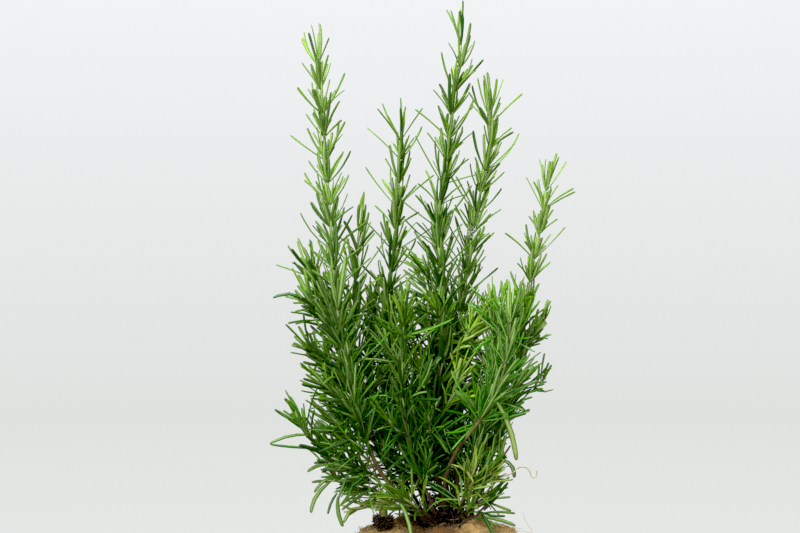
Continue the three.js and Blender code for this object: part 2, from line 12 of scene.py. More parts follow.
import bpy
import numpy as np
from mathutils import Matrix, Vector


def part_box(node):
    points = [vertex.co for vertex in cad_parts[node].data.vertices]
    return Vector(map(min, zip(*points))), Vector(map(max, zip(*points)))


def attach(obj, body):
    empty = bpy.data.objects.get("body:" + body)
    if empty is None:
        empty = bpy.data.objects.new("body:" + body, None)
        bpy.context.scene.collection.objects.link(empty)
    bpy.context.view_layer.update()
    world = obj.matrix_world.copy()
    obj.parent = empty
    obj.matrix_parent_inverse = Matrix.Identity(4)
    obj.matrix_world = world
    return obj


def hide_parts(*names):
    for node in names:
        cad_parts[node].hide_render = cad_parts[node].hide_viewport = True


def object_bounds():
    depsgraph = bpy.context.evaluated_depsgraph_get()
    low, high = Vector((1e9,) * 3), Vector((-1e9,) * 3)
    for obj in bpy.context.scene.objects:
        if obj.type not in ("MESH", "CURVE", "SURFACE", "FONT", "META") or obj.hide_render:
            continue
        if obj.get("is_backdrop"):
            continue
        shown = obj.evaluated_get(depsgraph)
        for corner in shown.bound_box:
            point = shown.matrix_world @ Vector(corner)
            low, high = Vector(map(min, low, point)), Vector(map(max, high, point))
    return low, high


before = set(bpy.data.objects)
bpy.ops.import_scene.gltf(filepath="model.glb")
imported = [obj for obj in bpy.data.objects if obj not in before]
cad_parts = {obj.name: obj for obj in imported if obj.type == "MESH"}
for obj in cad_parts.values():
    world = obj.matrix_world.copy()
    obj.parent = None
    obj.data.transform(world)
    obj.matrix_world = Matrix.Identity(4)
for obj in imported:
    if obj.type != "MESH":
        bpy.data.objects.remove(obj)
cad_low, cad_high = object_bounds()
cad_box = [list(cad_low), list(cad_high)]
print("solids:", len(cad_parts), "height in mm:", round(1000 * (cad_high.z - cad_low.z)))

# %% [markdown]
# ## The camera
#
# A product photograph of a tall, thin plant is best taken from some way off with a long lens, because then
# the near and the far shoots keep about the same size. The picture cuts the pot off below its rim, so the
# camera looks at the middle of the leaves and not at the middle of the whole thing.

# %% The camera stands level with the middle of the leaves
MM = 0.001
SENSOR = 36.0
CAMERA_DISTANCE = 1.3
VIEW_WIDTH = 0.6
VIEW_CENTRE = Vector((-28.5 * MM, 0, 303.4 * MM))


def add_object(name, data):
    added = bpy.data.objects.new(name, data)
    bpy.context.scene.collection.objects.link(added)
    return added


camera_data = bpy.data.cameras.new("camera")
camera_data.sensor_width = SENSOR
camera_data.lens = SENSOR * CAMERA_DISTANCE / VIEW_WIDTH
camera = add_object("camera", camera_data)
camera.location = VIEW_CENTRE - Vector((0, CAMERA_DISTANCE, 0))
camera.rotation_euler = (math.pi / 2, 0, 0)
bpy.context.scene.camera = camera
print("lens in mm:", round(camera_data.lens, 1))

# %% [markdown]
# ## Small helpers for meshes and shaders
#
# Every piece below is made the same way: work out points and faces, turn them into a mesh, give it a material
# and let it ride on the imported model. Shaders are built from nodes in code, so one short function that adds
# a node and fills its sockets keeps the recipes readable.

# %% Making meshes
def mix(low, high, share):
    return low + (high - low) * share


def unit(vectors):
    """A vector, or each of many vectors, made one long."""
    return vectors / np.linalg.norm(vectors, axis=-1, keepdims=True)


def chance(shoot, whorl, leaf, use):
    """A repeatable number from 0 to 1, the same that spaced the leaves of the solids."""
    mixed = math.sin(shoot * 127.1 + whorl * 311.7 + leaf * 74.7 + use * 19.3) * 43758.5453
    return mixed - math.floor(mixed)


def on_circle(out, angle, height, centre=(0, 0)):
    return np.array((centre[0] + out * math.cos(angle), centre[1] + out * math.sin(angle), height))


def make_object(name, points, faces, material, smooth=True):
    mesh = bpy.data.meshes.new(name)
    mesh.from_pydata(points, [], faces)
    mesh.polygons.foreach_set("use_smooth", [smooth] * len(mesh.polygons))
    mesh.materials.append(material)
    return add_object(name, mesh)


def make_piece(name, points, faces, material, slot, replaced=(), smooth=True):
    """A mesh piece in millimetres that rides on the model and may stand for solids."""
    piece = make_object(name, (np.asarray(points, float) * MM).tolist(), faces, material, smooth)
    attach(piece, "root")
    if replaced:
        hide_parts(*replaced)
    return piece


def mark_points(piece, name, values):
    """Keeps three numbers for each point, which a shader can read by name."""
    colours = np.ones((len(values), 4), np.float32)
    colours[:, :3] = values
    layer = piece.data.attributes.new(name, "FLOAT_COLOR", "POINT")
    layer.data.foreach_set("color", colours.ravel())


# %% Making shaders
def fill_sockets(tree, node, sockets):
    """Sets or links sockets. A socket is named, or numbered where names repeat."""
    for name, value in sockets.items():
        if isinstance(value, bpy.types.NodeSocket):
            tree.links.new(value, node.inputs[name])
        else:
            node.inputs[name].default_value = value


def place(tree, kind, sockets, **settings):
    """Adds a node with its settings, fills its sockets and returns its outputs."""
    node = tree.nodes.new(kind)
    for name, value in settings.items():
        setattr(node, name, value)
    fill_sockets(tree, node, sockets)
    return node.outputs


def blend_colours(tree, share, first, second, mode="MIX"):
    sockets = {0: share, 6: first, 7: second}
    return place(tree, "ShaderNodeMix", sockets, data_type="RGBA", blend_type=mode)[2]


def calculate(tree, operation, first, second=0.0):
    return place(tree, "ShaderNodeMath", {0: first, 1: second}, operation=operation)[0]


def rescale(tree, value, low, high, to_low=0.0, to_high=1.0):
    sockets = {"Value": value, "From Min": low, "From Max": high, "To Min": to_low, "To Max": to_high}
    return place(tree, "ShaderNodeMapRange", sockets)["Result"]


def paint(red, green, blue):
    """A colour given in screen numbers, turned into the linear numbers that shaders use."""
    linear = [((part / 255 + 0.055) / 1.055) ** 2.4 for part in (red, green, blue)]
    return (*linear, 1.0)


def read_marks(tree, name):
    marks = place(tree, "ShaderNodeAttribute", {}, attribute_name=name)["Color"]
    return place(tree, "ShaderNodeSeparateColor", {"Color": marks})[:3]


def new_material(name):
    material = bpy.data.materials.new(name)
    material.use_nodes = True
    tree = material.node_tree
    return material, tree, tree.nodes["Principled BSDF"]


def new_group(name, inputs, output):
    """A node group with named sockets. inputs is a list of (name, kind, value), output is (name, kind)."""
    tree = bpy.data.node_groups.new(name, "ShaderNodeTree")
    for socket_name, kind, value in inputs:
        socket = tree.interface.new_socket(socket_name, in_out="INPUT", socket_type="NodeSocket" + kind)
        socket.default_value = value
    tree.interface.new_socket(output[0], in_out="OUTPUT", socket_type="NodeSocket" + output[1])
    return tree, tree.nodes.new("NodeGroupInput").outputs, tree.nodes.new("NodeGroupOutput").inputs[output[0]]


def use_group(tree, group, sockets):
    return place(tree, "ShaderNodeGroup", sockets, node_tree=group)[0]


# %% [markdown]
# ## Two effects that every finish shares
#
# Nothing that grew, or that was woven from something that grew, has one even colour. Soft cloudy patches
# break it up, and a fine grain breaks up the gloss. Each is made once as a node group and then placed in the
# materials with its own size and strength.

# %% Cloudy patches of colour, and a fine grain for the surface
def stretched_noise(tree, take, detail):
    where = place(tree, "ShaderNodeTexCoord", {})["Object"]
    stretched = place(tree, "ShaderNodeVectorMath", {0: where, 1: take["Stretch"]}, operation="MULTIPLY")[0]
    sockets = {"Vector": stretched, "Scale": take["Scale"], "Detail": detail}
    return place(tree, "ShaderNodeTexNoise", sockets)[0]


patches, take, give = new_group(
    "cloudy_patches",
    [("Light", "Color", (1, 1, 1, 1)), ("Dark", "Color", (0, 0, 0, 1)), ("Scale", "Float", 100.0),
     ("Sharpness", "Float", 0.2), ("Stretch", "Vector", (1, 1, 1))],
    ("Color", "Color"))
low_edge = calculate(patches, "SUBTRACT", 0.5, take["Sharpness"])
high_edge = calculate(patches, "ADD", 0.5, take["Sharpness"])
mask = rescale(patches, stretched_noise(patches, take, 4.0), low_edge, high_edge)
patches.links.new(blend_colours(patches, mask, take["Dark"], take["Light"]), give)

grain, take, give = new_group(
    "fine_grain",
    [("Scale", "Float", 2000.0), ("Depth", "Float", 0.3), ("Stretch", "Vector", (1, 1, 1))],
    ("Normal", "Vector"))
bump = {"Height": stretched_noise(grain, take, 3.0), "Strength": take["Depth"], "Distance": 0.0005}
grain.links.new(place(grain, "ShaderNodeBump", bump)["Normal"], give)


def clouded(tree, light, dark, scale, **more):
    """Cloudy patches of two given colours."""
    return use_group(tree, patches, {"Light": paint(*light), "Dark": paint(*dark), "Scale": scale, **more})


print("shared effects:", patches.name, "and", grain.name)

# %% [markdown]
# ## The leaf's finish
#
# A rosemary leaf is dark and satin above, with a paler line along its sunken middle rib. Its edges roll
# under, and the underside is grey-green felt. Old leaves are a deep green, young ones at the tips are
# yellower and lighter. The mesh carries marks that say where a point lies on its leaf and how old the leaf
# is, so one material serves every leaf.

# %% The leaf material reads the marks that each leaf carries
def leaf_material():
    material, tree, shader = new_material("rosemary_leaf")
    blend, share_of = partial(blend_colours, tree), partial(rescale, tree)
    age, tint, yellowing = read_marks(tree, "leaf_look")
    underside, rib, along = read_marks(tree, "leaf_place")
    old = blend(tint, paint(12, 68, 3), paint(64, 138, 8))
    young = blend(tint, paint(84, 128, 4), paint(138, 176, 48))
    yellow = blend(tint, paint(96, 112, 18), paint(172, 170, 74))
    upper = blend(yellowing, blend(age, old, young), yellow)
    upper = blend(share_of(rib, 0.3, 1.0, 0.0, 0.32), upper, paint(122, 172, 54))
    edge = blend(0.5, upper, paint(14, 44, 6))
    upper = blend(share_of(underside, 0.1, 0.3, 0.0, 0.35), upper, edge)
    felt = blend(tint, paint(34, 84, 6), paint(152, 180, 104))
    felt = blend(calculate(tree, "MULTIPLY", yellowing, 0.5), felt, paint(176, 182, 96))
    below = share_of(underside, 0.32, 0.75)
    colour = blend(below, upper, felt)
    colour = blend(share_of(along, 0.0, 0.16, 0.5, 0.0), colour, paint(140, 168, 84))
    tip = blend(tint, paint(46, 52, 16), paint(92, 98, 34))
    colour = blend(share_of(along, 0.88, 1.0, 0.0, 0.55), colour, tip)
    spots = use_group(tree, patches, {"Light": (1, 1, 1, 1), "Dark": (0.66, 0.76, 0.6, 1), "Scale": 420.0})
    fill_sockets(tree, shader, {
        "Base Color": blend(0.6, colour, spots, "MULTIPLY"),
        "Roughness": share_of(below, 0.0, 1.0, 0.42, 0.75),
        "Normal": use_group(tree, grain, {"Scale": 1500.0, "Depth": 0.05}),
        "Specular IOR Level": 0.5, "Subsurface Weight": 0.2, "Subsurface Radius": (0.5, 1.0, 0.1),
        "Subsurface Scale": 0.001})
    return material


leaf_finish = leaf_material()
print("made", leaf_finish.name)

# %% [markdown]
# ## The bark's finish
#
# The foot of a shoot is wood: brown, ridged along its length, a little grey where the bark peels. Towards the
# tip the shoot is still soft and green-grey. The mark on the stem says how far along a point is.

# %% The bark material goes from brown wood to a green tip
def bark_material():
    material, tree, shader = new_material("rosemary_bark")
    blend, share_of = partial(blend_colours, tree), partial(rescale, tree)
    grown, knot, _ = read_marks(tree, "stem_place")
    stretch = (1.0, 1.0, 0.12)
    wood = clouded(tree, (62, 46, 30), (22, 15, 10), 1100.0, Stretch=stretch)
    olive = clouded(tree, (112, 98, 54), (64, 50, 28), 900.0, Stretch=stretch)
    green = clouded(tree, (176, 186, 138), (126, 144, 86), 800.0, Stretch=stretch)
    colour = blend(share_of(grown, 0.03, 0.17), wood, olive)
    colour = blend(share_of(grown, 0.32, 0.6), colour, green)
    colour = blend(calculate(tree, "MULTIPLY", knot, 0.25), colour, paint(140, 132, 84))
    ridges = use_group(tree, grain, {"Scale": 1600.0, "Depth": 0.7, "Stretch": stretch})
    fill_sockets(tree, shader, {"Base Color": colour, "Normal": ridges, "Roughness": 0.78})
    return material


bark_finish = bark_material()
print("made", bark_finish.name)

# %% [markdown]
# ## The shoots
#
# A shoot is a smooth curve through a few points, from its foot in the soil to its tip. The solids follow
# nearly the same routes, and a few were moved some millimetres here. A Catmull-Rom curve passes through every
# point and is easy to sample, and after sampling it evenly along its length, a place on the shoot is one
# number from 0 to 1.

# %% The routes of the shoots, in millimetres
SOIL_TOP = 1000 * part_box("potting_soil")[1].z
STEM_FOOT = SOIL_TOP - 12
STEM_LEAVES_SOIL = SOIL_TOP + 2

# Pairs go from foot to tip: the radius of the wood, the length of a leaf, the gap between whorls, and how
# many degrees the leaves open. The leaves start at the height bare, and a side shoot at the share at of its
# stem. lost is the share of missing leaves. slim, tone, young and yellow change a leaf's width and colour,
# and a loose shoot has fewer but longer and limper leaves.
# tone is partly the leaves' own colour and partly painted shade: it is negative on the shoots in the middle
# and at the back of the bush, to darken them where shade falls.
BUSH = dict(radius=(1.9, 0.8), bare=150, slim=0.9)
INNER_BUSH = dict(BUSH, lost=0.34, leaf=(30, 24), gap=(14, 11), open=(62, 34))
BACK_BUSH = dict(BUSH, lost=0.38, leaf=(29, 24), gap=(16, 13), open=(58, 30))
LEFT_SIDE = dict(slim=1.15, tone_and_shade=-0.15, leaf=(29, 26), gap=(11, 10), open=(60, 38))
SHOOTS = [
    dict(name="left_tall_stem", tone_and_shade=0.1,
         route=[(-1, -5), (-8, -10, 112), (-22, -15, 128), (-42, -25, 151), (-56, -30, 184), (-68, -30, 233),
                (-76, -26, 286), (-80, -20, 335), (-84, -14, 391), (-88, -10, 440), (-90, -8, 455)],
         radius=(2.4, 0.7), bare=176, leaf=(36, 27), gap=(13, 19), open=(64, 40),
         twig_heights=(40, 84), twig_turns=(2.5, 4.1), twig_spacing=9.0, twig_leaf=(31, 27),
         sides=[
             dict(at=0.225, loose=True, slim=1.1, tone_and_shade=-0.1, leaf=(29, 23), gap=(10, 8), open=(60, 34),
                  route=[(-58, -34, 156), (-72, -38, 161), (-84, -40, 169), (-94, -41, 179),
                         (-100, -42, 190)]),
             dict(LEFT_SIDE, at=0.295, slim=1.1, tone_and_shade=-0.1, leaf=(28, 23),
                  route=[(-65, -38, 199), (-74, -42, 209), (-82, -45, 216)]),
             dict(LEFT_SIDE, at=0.36, leaf=(29, 25),
                  route=[(-75, -34, 226), (-85, -36, 235), (-93, -37, 242)]),
             dict(LEFT_SIDE, at=0.445, route=[(-81, -31, 262), (-88, -32, 269), (-93, -32, 276)]),
             dict(LEFT_SIDE, at=0.478, open=(56, 34),
                  route=[(-82, -17, 276), (-88, -14, 287), (-93, -12, 298)]),
         ]),
    dict(name="left_short_stem", loose=True,
         route=[(-10, 5), (-15, 6, 112), (-28, 8, 134), (-44, 9, 162), (-55, 10, 192), (-61, 10, 226),
                (-64, 9, 263), (-62, 6, 290), (-59, 4, 330)],
         radius=(1.8, 0.7), bare=176, leaf=(30, 26), gap=(13, 19), open=(56, 34)),
    dict(name="middle_tall_stem", tone_and_shade=-0.1,
         route=[(-3, 7), (-5, 9, 112), (-10, 12, 130), (-19, 16, 158), (-28, 18, 203), (-35, 18, 248),
                (-38, 17, 282), (-34, 16, 305), (-32, 15, 335), (-30, 14, 357), (-28, 13, 385),
                (-28, 12, 400)],
         radius=(2.2, 0.7), bare=170, leaf=(36, 27), gap=(13, 19), open=(62, 37)),
    dict(INNER_BUSH, name="middle_front_stem", tone_and_shade=-0.2,
         route=[(2, -13), (0, -15, 112), (-6, -18, 130), (-15, -20, 151), (-24, -22, 188), (-27, -22, 226),
                (-26, -20, 250), (-25, -18, 268)]),
    dict(INNER_BUSH, name="middle_back_stem", tone_and_shade=-0.25,
         route=[(-6, 15), (-9, 18, 112), (-19, 24, 130), (-32, 30, 150), (-45, 35, 181), (-51, 37, 215),
                (-51, 37, 246), (-50, 36, 268)]),
    dict(name="centre_tall_stem", tone_and_shade=-0.2,
         route=[(6, 2), (5, 2, 112), (3, 1, 130), (-1, 0, 151), (-4, -1, 181), (-1, -2, 203), (1, -2, 222),
                (4, -2, 245), (4, -2, 271), (3, 0, 297), (1, 1, 316), (0, 2, 335), (2, 3, 356), (5, 3, 371),
                (8, 3, 395), (11, 3, 425), (14, 3, 440), (17, 3, 457), (17, 3, 471)],
         radius=(3.2, 0.7), bare=160, leaf=(37, 28), gap=(13, 19), open=(66, 38),
         twig_heights=(34, 200), twig_turns=(1.9, 4.9), twig_spacing=16.0,
         sides=[dict(at=0.14, leaf=(23, 20), gap=(9, 8), open=(60, 34),
                     route=[(-10, -8, 163), (-15, -11, 177), (-18, -13, 192)])],
         young_twigs=[[(3, -3, 192), (8, -8, 203), (12, -12, 212), (14, -14, 220)],
                      [(4, -3, 232), (13, -9, 240), (19, -13, 248), (24, -16, 257)]]),
    dict(name="centre_back_stem",
         route=[(14, 8), (15, 9, 112), (15, 12, 132), (14, 16, 158), (13, 19, 188), (13, 20, 214),
                (15, 20, 241), (18, 20, 267), (21, 19, 290), (24, 18, 312), (28, 17, 337), (32, 16, 357),
                (37, 14, 378), (40, 14, 393), (39, 13, 408), (39, 13, 419)],
         radius=(2.3, 0.7), bare=170, leaf=(36, 28), gap=(13, 18), open=(64, 37),
         twig_heights=(34, 152), twig_spacing=18.0,
         sides=[dict(at=0.43, leaf=(23, 20), gap=(8, 7), open=(46, 26),
                     route=[(25, 24, 250), (33, 27, 264)])]),
    dict(name="right_tall_stem", tone_and_shade=0.3,
         route=[(24, 3), (25, 4, 112), (30, 6, 143), (39, 8, 166), (52, 10, 191), (60, 11, 218),
                (63, 11, 243), (67, 10, 270), (70, 9, 290), (72, 8, 306), (75, 7, 322), (79, 7, 342),
                (82, 6, 362)],
         radius=(2.2, 0.7), bare=156, leaf=(32, 24), gap=(14, 20), open=(62, 42),
         sides=[dict(at=0.55, leaf=(24, 20), gap=(8, 7), open=(50, 30), route=[(72, 7, 252), (80, 2, 266)])]),
    dict(name="right_front_stem", tone_and_shade=0.6, young=-0.4,
         route=[(8, -6), (6, -10, 112), (4, -15, 136), (8, -21, 156), (16, -26, 172), (25, -30, 184),
                (38, -34, 203), (45, -36, 220), (49, -37, 236), (51, -37, 250), (52, -36, 265)],
         radius=(2.5, 0.8), bare=190, twigless=True, lost=0.16, leaf=(35, 29), gap=(16, 14), open=(66, 36)),
    dict(BUSH, name="right_inner_stem", tone_and_shade=0.5, young=-0.4, lost=0.25,
         route=[(16, -5), (17, -7, 112), (19, -10, 130), (24, -13, 155), (31, -15, 180), (37, -16, 205),
                (40, -16, 230), (41, -15, 250), (40, -14, 268)],
         leaf=(30, 25), gap=(15, 12), open=(62, 36)),
    dict(name="low_left_stem", loose=True, tone_and_shade=0.45, slim=0.9, lost=0.3,
         route=[(-8, -2), (-14, -3, 112), (-24, -4, 124), (-38, -6, 132), (-52, -8, 137), (-66, -10, 139),
                (-76, -11, 146), (-83, -12, 154)],
         radius=(1.7, 0.8), bare=128, leaf=(26, 22), gap=(13, 10), open=(64, 40), yellow=0.35,
         sides=[dict(at=0.3, leaf=(25, 22), gap=(15, 11), open=(62, 42), yellow=0.6,
                     route=[(-31, -14, 126), (-44, -17, 127), (-58, -18, 124), (-70, -19, 122)])]),
    dict(name="front_left_stem", loose=True, slim=0.78, tone_and_shade=-0.1,
         route=[(2, -21), (-1, -23, 112), (-10, -33, 122), (-20, -44, 130), (-30, -54, 137)],
         radius=(1.6, 0.8), bare=122, leaf=(27, 24), gap=(9, 7), open=(70, 40), yellow=0.3),
    dict(name="low_right_stem", loose=True, tone_and_shade=0.6, slim=0.9, lost=0.4, twigless=True,
         route=[(23, -7), (23, -8, 112), (26, -9, 124), (32, -12, 136), (38, -14, 147), (46, -17, 160),
                (53, -19, 171)],
         radius=(1.7, 0.8), bare=141, leaf=(28, 24), gap=(11, 8), open=(60, 34), yellow=0.2),
    dict(name="right_sprig", loose=True, tone_and_shade=0.5, slim=0.85, lost=0.4,
         route=[(17, -14), (18, -15, 112), (21, -17, 121), (27, -21, 128), (34, -24, 133), (38, -26, 137)],
         radius=(1.5, 0.8), bare=120, leaf=(21, 19), gap=(9, 8), open=(62, 36), yellow=0.3),
    dict(name="yellow_low_stem", loose=True, tone_and_shade=0.3, slim=0.8, lost=0.4,
         route=[(10, -15), (12, -17, 112), (16, -22, 126), (21, -27, 142), (25, -31, 156)],
         radius=(1.5, 0.8), bare=124, leaf=(21, 18), gap=(9, 7), open=(60, 34), yellow=0.4),
    dict(BACK_BUSH, name="back_left_stem", tone_and_shade=-0.2,
         route=[(-2, 20), (-6, 24, 112), (-16, 35, 138), (-27, 46, 172), (-34, 52, 208), (-37, 54, 240)]),
    dict(BACK_BUSH, name="back_middle_stem", tone_and_shade=-0.25,
         route=[(5, 14), (6, 18, 112), (7, 30, 138), (6, 41, 172), (5, 47, 212), (6, 48, 254)]),
    dict(BACK_BUSH, name="back_right_stem", tone_and_shade=-0.1,
         route=[(14, 16), (15, 18, 112), (19, 23, 124), (28, 33, 142), (38, 41, 172), (45, 45, 206),
                (48, 46, 240)]),
    dict(name="low_back_stem", loose=True,
         route=[(7, 21), (8, 22, 113), (10, 27, 124), (13, 38, 133), (16, 52, 142), (18, 64, 151)],
         radius=(1.6, 0.8), bare=126, leaf=(25, 22), gap=(10, 8), open=(62, 36)),
]
print("shoots with a foot in the soil:", len(SHOOTS))


# %% A smooth curve that is sampled evenly along its length
def hermite(start, end, leaving, arriving, t):
    """The cubic that leaves the start and arrives at the end with the given slopes."""
    return (start + leaving * t + (3 * (end - start) - 2 * leaving - arriving) * t ** 2
            + (2 * (start - end) + leaving + arriving) * t ** 3)


class Curve:
    """A centripetal Catmull-Rom curve through points."""

    STEPS = 60
    LEAST_KNOT = 1e-4
    HEADING_STEP = 0.002

    def __init__(self, points):
        knots = [np.array(point, float) for point in points]
        knots = [2 * knots[0] - knots[1], *knots, 2 * knots[-1] - knots[-2]]
        line = []
        for before, start, end, after in zip(knots, knots[1:], knots[2:], knots[3:]):
            first, middle, last = (max(np.linalg.norm(b - a) ** 0.5, self.LEAST_KNOT)
                                   for a, b in ((before, start), (start, end), (end, after)))
            here = (end - start) / middle
            leaving = middle * ((start - before) / first - (end - before) / (first + middle) + here)
            arriving = middle * (here - (after - start) / (middle + last) + (after - end) / last)
            line += [hermite(start, end, leaving, arriving, step / self.STEPS) for step in range(self.STEPS)]
        self.line = np.array([*line, knots[-2]])
        steps = np.linalg.norm(np.diff(self.line, axis=0), axis=1)
        self.travelled = np.concatenate([[0], np.cumsum(steps)])
        self.length = self.travelled[-1]

    def point(self, share):
        return np.array([np.interp(share * self.length, self.travelled, self.line[:, k]) for k in range(3)])

    def heading(self, share):
        before, after = max(share - self.HEADING_STEP, 0), min(share + self.HEADING_STEP, 1)
        return unit(self.point(after) - self.point(before))

    def share_at_height(self, height):
        return float(np.interp(height, np.maximum.accumulate(self.line[:, 2]), self.travelled)) / self.length


def across_axes(along):
    """Right and back across a shoot, near +X and +Y where it stands upright."""
    right = unit(np.cross((0, 1, 0), along))
    return right, np.cross(along, right)


# %% Every shoot and side shoot, in the order that the solids have
SIDE_START = 0.12
SIDE_TIP_RADIUS = 0.8
SIDE_THICKNESS = 0.8
SIDE_SLIM = 0.9


def lay_out_shoots():
    shoots = []
    for stem in SHOOTS:
        foot, *rest = stem["route"]
        curve = Curve([(*foot, STEM_FOOT), (*foot, STEM_LEAVES_SOIL), *rest])
        start = curve.share_at_height(stem["bare"])
        shoots.append(dict(stem, curve=curve, start=start, node=stem["name"], is_side=False))
        for side in stem.get("sides", []):
            shared = dict(yellow=stem.get("yellow", 0.0), tone_and_shade=stem.get("tone_and_shade", 0.0), slim=SIDE_SLIM,
                          radius=(mix(*stem["radius"], side["at"]) * SIDE_THICKNESS, SIDE_TIP_RADIUS),
                          start=SIDE_START, node=stem["name"], is_side=True)
            shoots.append(dict(shared, **side, curve=Curve([curve.point(side["at"]), *side["route"]])))
    return shoots


shoots = lay_out_shoots()
shoot_length = sum(shoot["curve"].length for shoot in shoots)
print("with side shoots:", len(shoots), "length in mm:", round(shoot_length))

# %% [markdown]
# ## The sack's shape, needed early
#
# Leaves must not grow through the cloth, so the height of the sack's gathered top is worked out first. It is
# a ring that rises on one side, with soft folds that run in towards the neck.

# %% How high the sack reaches
RIM_TOP = 1000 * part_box("plant_pot")[1].z
POT_RADIUS = 1000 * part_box("plant_pot")[1].x
NECK_RADIUS = 31.0
NECK_FOLD = 3.2
CLOTH = 1.4
ROOM_OUTSIDE = 7
ROOM_INSIDE = 5
ROOM_ABOVE = 1.6
ROOM_OVER_SOIL = 2


def fold_wave(angle):
    return (0.5 + 0.3 * np.cos(11 * angle + 0.6) + 0.2 * np.cos(5 * angle + 2)) ** 1.5


def neck_wave(angle):
    return 0.5 + 0.32 * np.cos(9 * angle + 1.1) + 0.18 * np.cos(4 * angle - 0.4)


def hill(angle, middle, width):
    """1 at the middle angle, and it fades to 0 on both sides."""
    away = (angle - middle + np.pi) % (2 * np.pi) - np.pi
    return np.exp(-(away / width) ** 2)


def slack(angle):
    """How loose the cloth lies: it is drawn tight over the rim at the back on both sides."""
    return 1 - 0.9 * hill(angle, 0.45, 0.75) - 0.8 * hill(angle, 2.45, 0.55)


def lip_height(angle):
    return RIM_TOP + 4.2 + 7.3 * hill(angle, -0.4, 0.5) + 5 * hill(angle, 1.7, 1.2)


TUFT_LOW, TUFT_HIGH = (1000 * np.array(corner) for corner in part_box("withered_tuft"))
TUFT_ROOM = 9.5
TUFT_MARGIN = 3
FRONT_IN_SIGHT = (-70, 16)
LEAST_HEIGHT_BEFORE_SACK = 20.0


def misses_tuft(point):
    """The tuft hangs free, and nothing grows between it and the front."""
    middle = (TUFT_LOW + TUFT_HIGH) / 2
    off = math.hypot(point[0] - middle[0], point[2] - TUFT_LOW[2] - TUFT_ROOM + TUFT_MARGIN)
    return off > TUFT_ROOM or point[1] > TUFT_HIGH[1] + TUFT_MARGIN


def leaves_sack_in_sight(point):
    """Nothing hangs low before the middle of the sack's front."""
    before = point[1] < 0 and FRONT_IN_SIGHT[0] < point[0] < FRONT_IN_SIGHT[1]
    return not before or point[2] > SOIL_TOP + LEAST_HEIGHT_BEFORE_SACK


def misses_sack(point):
    out, angle = math.hypot(point[0], point[1]), math.atan2(point[1], point[0])
    if out > POT_RADIUS + ROOM_OUTSIDE:
        return True
    if out < NECK_RADIUS - ROOM_INSIDE:
        return point[2] > SOIL_TOP + ROOM_OVER_SOIL
    return point[2] > lip_height(angle) + NECK_FOLD * neck_wave(angle) + CLOTH + ROOM_ABOVE


print("soil top:", round(SOIL_TOP, 1), "pot rim:", round(RIM_TOP, 1))

# %% [markdown]
# ## The leaves
#
# Rosemary carries its leaves in pairs, each pair a quarter turn on from the pair below. In the axil of each
# leaf a fan of shorter leaves stands more upright. The same rule places them here. A leaf is a thin strip
# with six points around its section: two edges, two crowns, a groove over the middle rib, and the rib below.
# All the leaves of a stem are computed together as arrays, because that is fast.

# %% The leaf's outline and section
LEAF_SHARES = np.array([0.0, 0.08, 0.3, 0.6, 0.87, 0.965, 1.0])
LEAF_WIDTHS = np.array([0.46, 0.7, 0.93, 1.0, 0.95, 0.72, 0.34])
LEAF_SECTION = np.array([(1.0, -0.3), (0.62, 0.32), (0.0, 0.1), (-0.62, 0.32), (-1.0, -0.3), (0.0, -0.56)])
UNDERSIDE = np.array([0.3, 0.0, 0.0, 0.0, 0.3, 1.0])
RIB = np.array([0.0, 0.0, 1.0, 0.0, 0.0, 0.0])
UNTWISTED_AT = 0.3


def lie_of_leaf(along, around, opening):
    """The way a leaf leaves its shoot, the way its upper face looks, and the way out from the shoot."""
    right, back = across_axes(along)
    outward = math.cos(around) * right + math.sin(around) * back
    direction = math.cos(opening) * along + math.sin(opening) * outward
    facing = math.sin(opening) * along - math.cos(opening) * outward
    return direction, facing, outward


def curl(direction, facing, bend, sway, sag):
    """How a leaf curves: bend goes towards its upper face, sway to its side, and sag straight down."""
    return facing * bend + np.cross(facing, direction) * sway - np.array((0, 0, sag))


def path_of_leaf(leaf, share):
    """A place on the middle line of a leaf."""
    return leaf["foot"] + leaf["length"] * (share * leaf["direction"] + share ** 2 * leaf["curl"])


